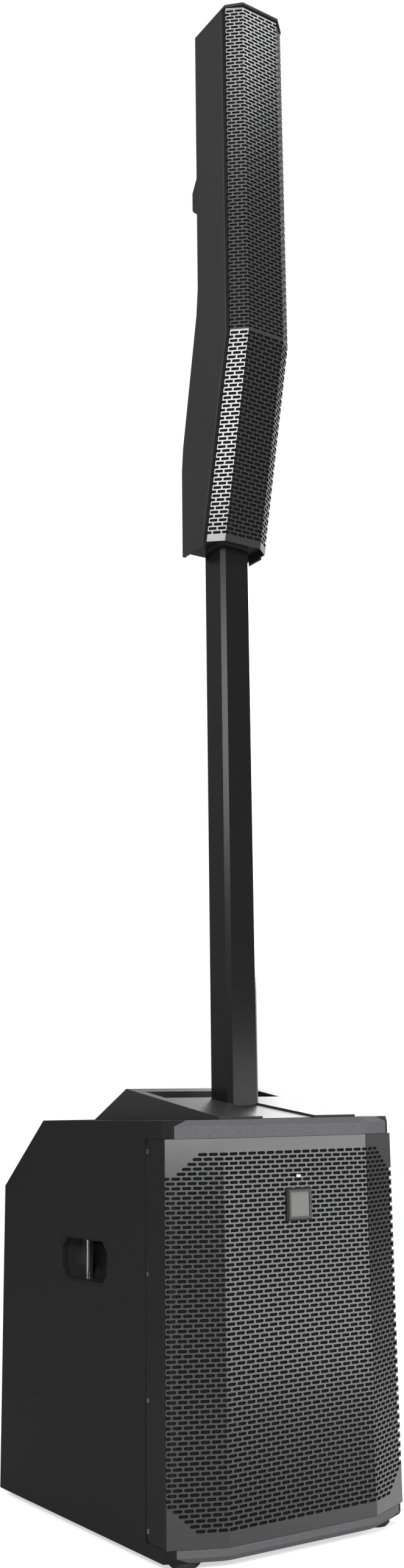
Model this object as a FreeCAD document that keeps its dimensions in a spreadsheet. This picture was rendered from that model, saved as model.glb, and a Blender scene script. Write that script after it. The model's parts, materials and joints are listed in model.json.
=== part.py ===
import FreeCAD, Part
import math
import os

import Sketcher
from FreeCAD import Matrix, Placement, Rotation, Vector

# A column loudspeaker system in three parts that lift apart: a bass cabinet, a square pole
# that stands in the cabinet's top, and a slim line array that stands on the pole.
# Millimetres. +Z is up, the front faces -Y, +X is to the right of a listener who looks at
# the front. The origin is on the floor, in the middle of the cabinet's outline.

SIZES = {
    # Bass cabinet
    "cabinet_width": 332.0,
    "cabinet_height": 468.4,
    "cabinet_depth": 446.4,
    "front_face_width": 207.2,
    "facet_fall": 28.2,
    "cabinet_bevel": 6.5,
    "side_wall": 12.0,
    "rear_wall": 15.0,
    "top_wall": 20.5,
    "floor_wall": 14.6,
    "slope_run": 112.1,
    "slope_drop": 86.6,
    "foot_height": 8.0,
    "foot_radius": 18.0,
    "foot_side_inset": 32.0,
    "foot_end_inset": 48.0,
    "foot_taper": 3.0,
    # Bass grille
    "grille_sheet": 1.5,
    "grille_gap": 0.4,
    "flange_depth": 44.0,
    "flange_corner": 8.5,
    "slot_width": 19.0,
    "slot_height": 11.5,
    "slot_pitch": 25.9,
    "slot_row": 20.8,
    "slot_margin": 16.0,
    "foam_thickness": 3.0,
    "badge_width": 36.0,
    "badge_height": 37.0,
    "badge_drop": 98.4,
    "badge_depth": 4.0,
    "badge_border": 4.5,
    "lamp_drop": 66.2,
    "lamp_width": 6.4,
    "lamp_height": 3.0,
    # Bass driver and its baffle
    "baffle_thickness": 15.0,
    "baffle_setback": 43.2,
    "woofer_side_gap": 4.0,
    "woofer_low_gap": 12.4,
    "woofer_rim": 11.0,
    "woofer_flange": 4.0,
    "driver_steel": 3.2,
    "coil_room": 6.0,
    "woofer_depth": 118.0,
    "magnet_share": 0.5,
    "magnet_height": 24.0,
    "cone_rim": 28.0,
    "coil_radius": 31.0,
    "cone_depth": 52.0,
    "cone_paper": 1.6,
    "roll_radius": 7.0,
    "bass_travel": 8.0,
    "port_share": 0.298,
    "port_wall": 3.0,
    "port_length": 130.0,
    "port_place": 0.57,
    "brace_thickness": 12.0,
    "brace_gap": 21.1,
    "brace_rim": 34.0,
    # Side handles
    "handle_length": 117.0,
    "handle_height": 47.5,
    "handle_corner": 12.0,
    "handle_to_slope": 109.6,
    "handle_drop": 167.1,
    "handle_bevel": 4.0,
    "handle_depth": 46.0,
    "handle_skin": 3.0,
    "handle_lip": 5.0,
    # Cap on the cabinet's top
    "cap_width": 201.2,
    "cap_rear_gap": 20.3,
    "cap_ridge": 230.5,
    "cap_front": 15.2,
    "cap_rise": 38.7,
    "cap_front_rise": 3.2,
    "slot_hand_length": 174.8,
    "slot_hand_rear": 206.0,
    "slot_hand_front": 155.8,
    "slot_hand_floor": 2.0,
    "slot_hand_lip": 12.0,
    "slot_hand_undercut": 30.0,
    "channel_depth": 2.5,
    "channel_rear_width": 40.0,
    "channel_front_width": 78.0,
    # Pole and its seats
    "pole_width": 46.8,
    "pole_chamfer": 5.4,
    "pole_wall": 3.0,
    "pole_place": 130.4,
    "pole_top": 1230.5,
    "socket_depth": 96.4,
    "socket_wall": 3.0,
    "socket_floor": 4.0,
    "socket_flange": 12.0,
    "pole_clearance": 0.5,
    "seat_gap": 0.3,
    "plug_height": 24.0,
    "plug_recess": 3.0,
    "contact_radius": 2.5,
    "contact_height": 2.4,
    "contact_pitch": 8.0,
    "cable_radius": 3.5,
    # Line array
    "array_width": 97.8,
    "array_top": 2018.7,
    "array_bottom": 1228.6,
    "array_front": 86.6,
    "array_knee": 1512.3,
    "array_lean": 64.9,
    "array_rear": 8.9,
    "array_rear_low": 54.0,
    "array_rear_bend": 1594.1,
    "array_rear_foot": 1372.5,
    "array_rear_chamfer": 17.8,
    "array_wall": 3.5,
    "array_lid": 6.8,
    "lid_bevel": 3.0,
    "array_edge_bevel": 1.0,
    "lid_face_width": 59.6,
    "lid_rise": 18.8,
    "array_flange": 9.0,
    "array_face_width": 57.4,
    "array_facet_fall": 16.2,
    "array_grille_width": 95.0,
    "array_sheet": 1.2,
    "grille_top_gap": 0.9,
    "array_slot_row": 20.8,
    "array_slot_height": 11.5,
    "array_slot_width": 12.0,
    "array_slot_pitch": 18.4,
    "array_band": 9.0,
    "plate_recess": 13.1,
    "plate_thickness": 3.0,
    "neck_gap": 1.5,
    "spigot_length": 72.0,
    "spigot_clearance": 0.4,
    "array_baffle": 6.0,
    "array_baffle_setback": 11.6,
    "driver_radius": 43.5,
    "driver_hole": 38.5,
    "driver_flange": 2.5,
    "driver_depth": 38.0,
    "driver_pitch": 93.0,
    "driver_pitch_low": 91.0,
    "driver_magnet_radius": 27.0,
    "driver_magnet_height": 14.0,
    "driver_cone_radius": 30.0,
    "driver_cone_depth": 14.0,
    "driver_coil_radius": 12.5,
    "driver_roll": 2.6,
    "driver_paper": 1.0,
    "array_travel": 2.5,
    "boss_width": 60.0,
    "boss_depth": 22.9,
    "boss_top": 1828.0,
    "boss_shoulder": 1791.4,
    "boss_heel": 1762.0,
    "boss_bottom": 1741.0,
    "boss_fillet": 9.0,
    # Control panel on the slope, and connection plate on the rear
    "panel_width": 240.0,
    "panel_length": 120.0,
    "panel_start": 11.0,
    "panel_sheet": 3.0,
    "panel_ledge": 8.0,
    "knob_pitch": 34.0,
    "knob_radius": 8.0,
    "knob_height": 13.0,
    "knob_row": 34.0,
    "shaft_radius": 3.0,
    "shaft_clearance": 0.08,
    "shaft_length": 10.0,
    "pot_radius": 8.5,
    "pot_height": 9.0,
    "knob_gap": 0.6,
    "knob_skirt": 1.5,
    "wheel_radius": 13.0,
    "wheel_height": 12.0,
    "wheel_offset": 66.0,
    "wheel_row": 80.0,
    "wheel_stroke": 1.0,
    "window_width": 74.0,
    "window_height": 38.0,
    "window_offset": 24.0,
    "window_sheet": 1.5,
    "plate_width": 200.0,
    "plate_height": 104.0,
    "plate_drop": 168.4,
    "plate_sink": 1.2,
    "socket_pitch": 36.0,
    "socket_flange_width": 26.0,
    "socket_flange_height": 31.0,
    "socket_flange_sheet": 2.0,
    "socket_radius": 12.0,
    "socket_bore": 9.8,
    "socket_length": 24.0,
    "socket_bore_depth": 12.0,
    "socket_offset": 58.0,
    "socket_row": 20.0,
    "inlet_width": 30.0,
    "inlet_height": 24.0,
    "inlet_wall": 2.0,
    "inlet_depth": 22.0,
    "inlet_offset": 66.0,
    "inlet_row": 24.0,
    "rocker_width": 15.0,
    "rocker_height": 21.0,
    "rocker_frame": 2.0,
    "rocker_offset": 26.0,
    "rocker_gap": 0.4,
    "rocker_tilt": 16.0,
    "chassis_depth": 92.0,
    "chassis_sheet": 2.0,
    "fin_count": 11.0,
    "fin_height": 22.0,
    "fin_sheet": 2.0,
    "board_sheet": 1.6,
    "board_gap": 3.0,
    "board_front_gap": 8.0,
    "board_rear_gap": 2.5,
    "board_post": 2.5,
    "board_post_inset": 8.0,
    "transformer_side": 34.0,
    "sink_plate": 5.0,
}

doc = FreeCAD.newDocument("ColumnLoudspeaker")
sheet = doc.addObject("Spreadsheet::Sheet", "Sizes")
for row, (alias, number) in enumerate(SIZES.items(), start=1):
    sheet.set(f"A{row}", alias)
    sheet.set(f"B{row}", str(number))
    sheet.setAlias(f"B{row}", alias)
doc.recompute()


class Size:
    """A length that is known both as a number and as a formula on the sheet."""

    def __init__(self, value, text):
        self.value = float(value)
        self.text = text

    @staticmethod
    def of(other):
        if isinstance(other, Size):
            return other
        return Size(other, f"({other:.6f})")

    def __add__(self, other):
        other = Size.of(other)
        return Size(self.value + other.value, f"({self.text} + {other.text})")

    __radd__ = __add__

    def __sub__(self, other):
        other = Size.of(other)
        return Size(self.value - other.value, f"({self.text} - {other.text})")

    def __rsub__(self, other):
        return Size.of(other) - self

    def __mul__(self, other):
        other = Size.of(other)
        return Size(self.value * other.value, f"({self.text} * {other.text})")

    __rmul__ = __mul__

    def __truediv__(self, other):
        other = Size.of(other)
        return Size(self.value / other.value, f"({self.text} / {other.text})")

    def __rtruediv__(self, other):
        return Size.of(other) / self

    def __neg__(self):
        return Size.of(0) - self


def size(alias):
    """The named value of the sheet."""
    return Size(SIZES[alias], f"Sizes.{alias}")


def root(square):
    """The square root of a size."""
    return Size(math.sqrt(square.value), f"sqrt({square.text})")


# Levels and places that many pieces share.
cabinet_floor = size("foot_height")
cabinet_top = cabinet_floor + size("cabinet_height")
half_width = size("cabinet_width") / 2
badge_stand = size("badge_depth") + size("seat_gap")
rear_face = (size("cabinet_depth") + badge_stand) / 2
front_face = rear_face - size("cabinet_depth")
corner_line = front_face + size("facet_fall")
half_face = size("front_face_width") / 2
opening_low = cabinet_floor + size("floor_wall")
opening_high = cabinet_top - size("top_wall")
baffle_front = front_face + size("baffle_setback")
baffle_back = baffle_front + size("baffle_thickness")
inner_half = half_width - size("side_wall")
woofer_ring = inner_half - size("woofer_side_gap")
woofer_hole = woofer_ring - size("woofer_rim")
woofer_z = opening_low + size("woofer_low_gap") + woofer_ring
port_room = opening_high - woofer_z - woofer_ring
port_inside = port_room * size("port_share")
port_x = inner_half * size("port_place")
port_z = opening_high - port_room * 0.46
handle_z = cabinet_top - size("handle_drop")
pole_y = front_face + size("pole_place")
pole_half = size("pole_width") / 2
hole_half = pole_half + size("pole_clearance")
socket_bottom = cabinet_top - size("socket_depth")
pole_bottom = socket_bottom + size("seat_gap")
slope_length = root(size("slope_run") * size("slope_run") + size("slope_drop") * size("slope_drop"))
slope_y = size("slope_run") / slope_length
slope_z = size("slope_drop") / slope_length
slope_start_y = rear_face - size("slope_run")
handle_y = slope_start_y - size("handle_to_slope")


def slope_point(along, deep):
    """A point of the side view, along the slope from its top edge and deep below it."""
    return (slope_start_y + along * slope_y - deep * slope_z,
            cabinet_top - along * slope_z - deep * slope_y)


# Tools that every sub-part uses.
PARTS = []


def body(label):
    made = doc.addObject("PartDesign::Body", label)
    made.Label = label
    return made


def keep(made):
    """Notes a sub-part that is written out as a node of its own."""
    PARTS.append(made)
    return made


def origin_feature(owner, role):
    return next(f for f in owner.Origin.OriginFeatures if f.Role == role)


def sketch(owner, plane, offset=0):
    """A sketch on an origin plane; XZ sketches look along +Y, so their offset is minus Y."""
    made = owner.newObject("Sketcher::SketchObject", f"{owner.Name}_sketch")
    made.AttachmentSupport = [(origin_feature(owner, f"{plane}_Plane"), "")]
    made.MapMode = "FlatFace"
    made.setExpression("AttachmentOffset.Base.z", Size.of(offset).text)
    return made


def fix(made, geometry, corner, x, y):
    """Ties a corner or centre to the sheet."""
    for kind, axis, number in (("DistanceX", -2, x), ("DistanceY", -1, y)):
        number = Size.of(number)
        if number.text == "(0.000000)":
            made.addConstraint(Sketcher.Constraint("PointOnObject", geometry, corner, axis))
            continue
        row = made.addConstraint(Sketcher.Constraint(kind, -1, 1, geometry, corner, number.value))
        made.setExpression(f"Constraints[{row}]", number.text)


def polygon(made, points):
    """A closed outline of straight sides."""
    first = made.GeometryCount
    corners = [Vector(Size.of(x).value, Size.of(y).value, 0) for x, y in points]
    for place, corner in enumerate(corners):
        following = corners[(place + 1) % len(corners)]
        made.addGeometry(Part.LineSegment(corner, following), False)
    for place in range(len(points)):
        following = first + (place + 1) % len(points)
        made.addConstraint(Sketcher.Constraint("Coincident", first + place, 2, following, 1))
    for place, (x, y) in enumerate(points):
        fix(made, first + place, 1, x, y)


def rectangle(made, left, low, right, high):
    polygon(made, [(left, low), (right, low), (right, high), (left, high)])


def circle(made, x, y, radius):
    radius = Size.of(radius)
    centre = Vector(Size.of(x).value, Size.of(y).value, 0)
    row = made.addGeometry(Part.Circle(centre, Vector(0, 0, 1), radius.value), False)
    fix(made, row, 3, x, y)
    ring = made.addConstraint(Sketcher.Constraint("Radius", row, radius.value))
    made.setExpression(f"Constraints[{ring}]", radius.text)


def pad(owner, profile, length, both=False):
    made = owner.newObject("PartDesign::Pad", f"{owner.Name}_pad")
    made.Profile = profile
    made.setExpression("Length", Size.of(length).text)
    made.Midplane = both
    doc.recompute()
    return made


def pocket(owner, profile, length, both=False):
    """Cuts along the sketch's own normal, or to both sides of it."""
    before = owner.Shape.Volume
    made = owner.newObject("PartDesign::Pocket", f"{owner.Name}_pocket")
    made.Profile = profile
    made.setExpression("Length", Size.of(length).text)
    if both:
        made.Midplane = True
    else:
        made.Reversed = True
    doc.recompute()
    if owner.Shape.Volume >= before:
        raise RuntimeError(f"{made.Name} cuts nothing")
    return made


def revolve(owner, profile):
    """Turns a profile about the sketch's vertical axis."""
    made = owner.newObject("PartDesign::Revolution", f"{owner.Name}_turn")
    made.Profile = profile
    made.ReferenceAxis = (profile, ["V_Axis"])
    made.Angle = 360.0
    doc.recompute()
    return made


def polar(owner, features, count):
    """Repeats features about the body's Z axis."""
    made = owner.newObject("PartDesign::PolarPattern", f"{owner.Name}_ring")
    made.Originals = features
    made.Axis = (origin_feature(owner, "Z_Axis"), [""])
    made.Angle = 360.0
    made.Occurrences = count
    owner.Tip = made
    doc.recompute()
    return made


def edges_where(shape, test):
    """The names of the edges whose two ends pass a test."""
    names = []
    for number, edge in enumerate(shape.Edges, start=1):
        if len(edge.Vertexes) == 2 and all(test(v.Point) for v in edge.Vertexes):
            names.append(f"Edge{number}")
    return names


def chamfer(owner, test, amount):
    base = owner.Tip
    made = owner.newObject("PartDesign::Chamfer", f"{owner.Name}_bevel")
    made.Base = (base, edges_where(base.Shape, test))
    made.setExpression("Size", Size.of(amount).text)
    doc.recompute()
    return made


def fillet(owner, test, amount):
    base = owner.Tip
    made = owner.newObject("PartDesign::Fillet", f"{owner.Name}_round")
    made.Base = (base, edges_where(base.Shape, test))
    made.setExpression("Radius", Size.of(amount).text)
    doc.recompute()
    return made


def place(made, x=0, y=0, z=0, turn=None):
    """Sets a sub-part's Placement, with its base tied to the sheet."""
    turn = turn or Rotation()
    base = Vector(Size.of(x).value, Size.of(y).value, Size.of(z).value)
    made.Placement = Placement(base, turn)
    for axis, number in (("x", x), ("y", y), ("z", z)):
        made.setExpression(f"Placement.Base.{axis}", Size.of(number).text)
    doc.recompute()
    return made


def boolean(kind, label, base, tool):
    made = doc.addObject(f"Part::{kind}", label)
    made.Label = label
    made.Base = base
    made.Tool = tool
    doc.recompute()
    return made


def shape_part(label, shape):
    """A sub-part whose shape is worked out by code."""
    made = doc.addObject("Part::Feature", label)
    made.Label = label
    made.Shape = shape
    made.Placement = shape.Placement
    return keep(made)


def group(label, shapes):
    return shape_part(label, Part.makeCompound(shapes))


def near(number, target, room=0.05):
    target = Size.of(target).value
    return abs(number - target) < room


FACING_FRONT = Rotation(Vector(1, 0, 0), 90)
FACING_REAR = Rotation(Vector(1, 0, 0), -90)


def facet_contour(half, half_centre, corner_y, front_y, inset):
    """Half of a faceted front, from its corner to its bend, set in by the same amount."""
    run = half - half_centre
    fall = corner_y - front_y
    length = root(run * run + fall * fall)
    corner = (half - inset, corner_y + inset * (length - fall) / run)
    bend = (half_centre - inset * (length - run) / fall, front_y + inset)
    return corner, bend


def front_line(half, half_centre, corner_y, front_y, inset, rear_y):
    """The whole faceted front from the left flange's rear end to the right one's."""
    corner, bend = facet_contour(half, half_centre, corner_y, front_y, inset)
    right = [(bend[0], bend[1]), (corner[0], corner[1]), (half - inset, rear_y)]
    left = [(-x, y) for x, y in reversed(right)]
    return left + right


# Cabinet shell: a wooden box with a faceted front, a sloped rear top edge and a rebate
# round its mouth that the grille lies in.
def cabinet_front(inset, rear_y):
    return front_line(half_width, half_face, corner_line, front_face, inset, rear_y)


def make_cabinet_shell():
    shell = body("cabinet_shell")
    plan = sketch(shell, "XY", cabinet_floor)
    polygon(plan, cabinet_front(Size.of(0), rear_face))
    pad(shell, plan, size("cabinet_height"))

    def on_front_rim(point):
        rim = near(point.z, cabinet_floor) or near(point.z, cabinet_top)
        return rim and point.y < corner_line.value + 0.05

    chamfer(shell, on_front_rim, size("cabinet_bevel"))

    slope = sketch(shell, "YZ")
    beyond = size("slope_run") / 10
    polygon(slope, [slope_point(-beyond, 0), slope_point(slope_length + beyond, 0),
                    slope_point(slope_length + beyond, -slope_length),
                    slope_point(-beyond, -slope_length)])
    pocket(shell, slope, size("cabinet_width") * 2, both=True)

    inner_rear = rear_face - size("rear_wall")
    inner_bend = size("rear_wall") * (slope_length - size("slope_drop")) / size("slope_run")
    top_drop = size("top_wall")
    slope_top = (slope_start_y - (size("rear_wall") * slope_length - top_drop * size("slope_run"))
                 / size("slope_drop"))
    room = sketch(shell, "YZ")
    polygon(room, [(front_face * 2, opening_low), (inner_rear, opening_low),
                   (inner_rear, cabinet_top - size("slope_drop") - inner_bend),
                   (slope_top, opening_high), (front_face * 2, opening_high)])
    pocket(shell, room, inner_half * 2, both=True)

    lap = size("grille_sheet") + size("grille_gap")
    flange_end = corner_line + size("flange_depth") + size("grille_gap")
    inner = cabinet_front(lap, flange_end)
    far = half_width * 2
    rebate = sketch(shell, "XY", opening_low)
    polygon(rebate, inner + [(far, flange_end), (far, -far * 2), (-far, -far * 2), (-far, flange_end)])
    pocket(shell, rebate, opening_high - opening_low)

    grips = sketch(shell, "YZ")
    polygon(grips, handle_outline(Size.of(0)))
    pocket(shell, grips, size("cabinet_width") * 2, both=True)
    low = handle_z - size("handle_height")
    high = handle_z + size("handle_height")

    def on_grip_edge(point):
        outer = near(abs(point.x), half_width)
        within = abs(point.y - handle_y.value) < SIZES["handle_length"]
        return outer and within and low.value < point.z < high.value

    chamfer(shell, on_grip_edge, size("handle_bevel"))

    pole_hole = sketch(shell, "XY", opening_high - 1)
    hole = hole_half + size("socket_wall")
    rectangle(pole_hole, -hole, pole_y - hole, hole, pole_y + hole)
    pocket(shell, pole_hole, size("top_wall") + 2)

    for depth, ledge in ((size("panel_sheet"), Size.of(0)), (slope_length / 2, size("panel_ledge"))):
        seat = sketch(shell, "YZ")
        start = size("panel_start") + ledge
        end = size("panel_start") + size("panel_length") - ledge
        polygon(seat, [slope_point(start, -5), slope_point(end, -5),
                       slope_point(end, depth), slope_point(start, depth)])
        pocket(shell, seat, size("panel_width") - ledge * 2, both=True)

    plate_seat = size("panel_sheet") + size("plate_sink")
    for depth, ledge in ((plate_seat, Size.of(0)), (size("rear_wall") * 2, size("panel_ledge"))):
        seat = sketch(shell, "XZ", -rear_face)
        side = size("plate_width") / 2 - ledge
        reach = size("plate_height") / 2 - ledge
        level = cabinet_top - size("plate_drop")
        rectangle(seat, -side, level - reach, side, level + reach)
        pocket(shell, seat, depth)
    return keep(shell)


def handle_outline(inset):
    """The handle's mouth in the side view, with its corners cut off."""
    reach = size("handle_length") / 2 - inset
    rise = size("handle_height") / 2 - inset
    cut = size("handle_corner") - inset * 0.6
    quarter = [(reach, rise - cut), (reach - cut, rise)]
    corners = quarter + [(-x, z) for x, z in reversed(quarter)]
    corners += [(-x, -z) for x, z in corners]
    return [(handle_y + x, handle_z + z) for x, z in corners]


# Side handles: moulded cups behind the mouths, each with a rounded bar that fingers close on.
def make_handle_cup(label, side):
    skin = size("handle_skin")
    depth = size("handle_depth")
    wall_face = half_width - size("side_wall")
    shell = body(f"{label}_shell")
    block = sketch(shell, "YZ", wall_face - depth if side > 0 else -wall_face)
    polygon(block, handle_outline(-skin * 2))
    pad(shell, block, depth)
    hollow = sketch(shell, "YZ", wall_face - depth + skin if side > 0 else -wall_face - 1)
    polygon(hollow, handle_outline(Size.of(0)))
    pocket(shell, hollow, depth - skin + 1)
    bar = body(f"{label}_bar")
    low = handle_z - size("handle_height") / 2 - skin
    round_bar = sketch(bar, "XY", low)
    reach = (wall_face - depth / 2) * side
    lip = size("handle_lip")
    rear_wall = handle_y + size("handle_length") / 2
    circle(round_bar, reach, rear_wall - size("handle_corner"), lip)
    high = size("handle_height") + skin * 2
    pad(bar, round_bar, high)
    web = sketch(bar, "XY", low)
    rectangle(web, reach - lip, rear_wall - size("handle_corner"), reach + lip, rear_wall + skin)
    pad(bar, web, high)
    return keep(boolean("Fuse", label, shell, bar))


# Feet: four rubber feet under the cabinet, a little narrower at the floor.
def make_feet():
    foot = body("foot_master")
    profile = sketch(foot, "XZ")
    radius = size("foot_radius")
    polygon(profile, [(0, 0), (radius - size("foot_taper"), 0), (radius, size("foot_taper")),
                      (radius, size("foot_height")), (0, size("foot_height"))])
    revolve(foot, profile)
    side = (half_width - size("foot_side_inset")).value
    end = (rear_face - size("foot_end_inset")).value
    places = [(x, y) for x in (-side, side) for y in (-end, end)]
    return group("rubber_feet", [foot.Shape.translated(Vector(x, y, 0)) for x, y in places])


# Bass grille: one perforated sheet, folded to the front's three faces and two side flanges.
# The slots stand in staggered rows that step in at the corners.
def slot_rows(levels, height, row):
    """The levels of slot rows that fill a band evenly."""
    low, high = levels
    count = int((high - low - height) / row) + 1
    first = (low + high - (count - 1) * row) / 2
    return [first + index * row for index in range(count)]


def face_slots(points, levels, slot, corner_steps):
    """Cutters for a folded front's three faces; every other row is moved by half a pitch."""
    width, height, pitch, row, depth = slot
    half_centre = points[2].x - points[1].x
    half_centre = half_centre / 2
    facet = (points[3] - points[2]).Length
    rows = slot_rows(levels, height, row)
    cutters = []
    for index, level in enumerate(rows):
        steps = max(0, corner_steps - min(index, len(rows) - 1 - index))
        limit = half_centre + facet - steps * pitch / 2
        for number in range(int(limit / pitch) + 1):
            offset = (number + (index % 2) / 2) * pitch
            low, high = offset - width / 2, offset + width / 2
            on_centre = high < half_centre
            on_facet = low > half_centre and high < limit
            if not on_centre and not on_facet:
                continue
            for side in ((-1, 1) if offset else (1,)):
                if on_centre:
                    along = Vector(1, 0, 0)
                    centre = Vector(side * offset, points[1].y, level)
                else:
                    along = (points[3] - points[2]).normalize()
                    centre = points[2] + along * (offset - half_centre)
                    along = Vector(along.x, side * along.y, 0)
                    centre = Vector(side * centre.x, centre.y, level)
                cutter = Part.makeBox(width, depth, height, Vector(-width / 2, -depth / 2, -height / 2))
                cutter.Placement = Placement(centre, Rotation(along, Vector(), Vector(0, 0, 1), "XZY"))
                cutters.append(cutter)
    return cutters


def plan_points(points):
    return [Vector(Size.of(x).value, Size.of(y).value, 0) for x, y in points]


def make_bass_grille():
    sheet_metal = size("grille_sheet")
    gap = size("grille_gap")
    flange_end = corner_line + size("flange_depth")
    outer = cabinet_front(Size.of(0), flange_end)
    inner = cabinet_front(sheet_metal, flange_end)
    blank = body("bass_grille_blank")
    plan = sketch(blank, "XY", opening_low + gap)
    polygon(plan, outer + list(reversed(inner)))
    pad(blank, plan, opening_high - opening_low - gap * 2)
    corner = size("flange_corner")
    for low, inward in ((opening_low + gap, 1), (opening_high - gap, -1)):
        cut = sketch(blank, "YZ")
        polygon(cut, [(flange_end - corner, low), (flange_end + 5, low - inward * 5),
                      (flange_end, low + corner * inward)])
        pocket(blank, cut, size("cabinet_width") * 2, both=True)
    margin = SIZES["slot_margin"]
    levels = (opening_low.value + margin, opening_high.value - margin)
    points = plan_points(outer)
    slot = (SIZES["slot_width"], SIZES["slot_height"], SIZES["slot_pitch"], SIZES["slot_row"],
            SIZES["grille_sheet"] * 6)
    tool = doc.addObject("Part::Feature", "bass_grille_slots")
    tool.Shape = Part.makeCompound(face_slots(points[1:5], levels, slot, 2))
    return keep(boolean("Cut", "bass_grille", blank, tool))


def make_bass_foam():
    """A thin foam sheet that lies against the back of the grille."""
    def sheet_line(inset):
        corner, bend = facet_contour(half_width, half_face, corner_line, front_face, inset)
        end = inner_half - size("seat_gap")
        end_y = bend[1] + (end - bend[0]) * (corner[1] - bend[1]) / (corner[0] - bend[0])
        return [(-end, end_y), (-bend[0], bend[1]), bend, (end, end_y)]

    front = size("grille_sheet") + size("seat_gap")
    foam = body("bass_grille_foam")
    plan = sketch(foam, "XY", opening_low + size("grille_gap"))
    back = sheet_line(front + size("foam_thickness"))
    polygon(plan, sheet_line(front) + list(reversed(back)))
    pad(foam, plan, opening_high - opening_low - size("grille_gap") * 2)
    return keep(foam)


# Badge plate and status lamp: a bare plate with a bevelled frame, and a small light above it.
def make_badge():
    plate = body("badge_plate")
    back = -front_face
    width = size("badge_width") / 2
    height = size("badge_height") / 2
    level = cabinet_top - size("badge_drop")
    outline = sketch(plate, "XZ", back + size("seat_gap"))
    rectangle(outline, -width, level - height, width, level + height)
    pad(plate, outline, size("badge_depth"))
    front = front_face - size("seat_gap") - size("badge_depth")
    chamfer(plate, lambda point: near(point.y, front), size("badge_depth") / 2)
    border = size("badge_border")
    face = sketch(plate, "XZ", -front - 1)
    rectangle(face, border - width, level - height + border, width - border, level + height - border)
    pocket(plate, face, 5)
    return keep(plate)


def make_status_lamp():
    """A small light pipe that fills one slot's place above the badge."""
    lamp = body("status_lamp")
    level = cabinet_top - size("lamp_drop")
    face = sketch(lamp, "XZ", -front_face + size("seat_gap"))
    rectangle(face, -size("lamp_width") / 2, level - size("lamp_height") / 2,
              size("lamp_width") / 2, level + size("lamp_height") / 2)
    pad(lamp, face, size("grille_sheet"))
    return keep(lamp)


# Front baffle: the board that carries the bass driver and the two ports.
def make_front_baffle():
    board = body("front_baffle")
    face = sketch(board, "XZ", -baffle_back)
    rectangle(face, -inner_half, opening_low, inner_half, opening_high)
    circle(face, 0, woofer_z, woofer_hole)
    port_hole = port_inside + size("port_wall") + size("seat_gap")
    for side in (-1, 1):
        circle(face, port_x * side, port_z, port_hole)
    pad(board, face, size("baffle_thickness"))
    return keep(board)


def make_ports():
    """Two flared port tubes that pass through the baffle."""
    port = body("port_master")
    inside = port_inside
    outside = inside + size("port_wall")
    long = size("port_length")
    flare = size("port_wall") * 2
    profile = sketch(port, "XZ")
    polygon(profile, [(inside, -long), (outside, -long), (outside, 0), (outside + flare, 0),
                      (inside + flare, size("port_wall")), (inside + flare * 0.3, 0), (inside, -flare)])
    revolve(port, profile)
    tubes = []
    for side in (-1, 1):
        centre = Vector(side * port_x.value, baffle_front.value, port_z.value)
        tube = port.Shape.copy()
        tube.Placement = Placement(centre, FACING_FRONT)
        tubes.append(tube)
    return group("port_tubes", tubes)


def make_brace():
    """A window board between the side walls behind the driver."""
    board = body("cabinet_brace")
    back = slope_start_y - size("brace_gap")
    face = sketch(board, "XZ", -back)
    rectangle(face, -inner_half, opening_low, inner_half, opening_high)
    rim = size("brace_rim")
    rectangle(face, rim - inner_half, opening_low + rim, inner_half - rim, opening_high - rim)
    pad(board, face, size("brace_thickness"))
    return keep(board)


# Bass driver, built about its own axis with +Z to the listener and then turned to face the
# front. The cone, dust cap and coil move as one; the surround and the spider stretch.
def turned(label, points):
    made = body(label)
    profile = sketch(made, "XZ")
    polygon(profile, points)
    revolve(made, profile)
    return made


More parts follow.
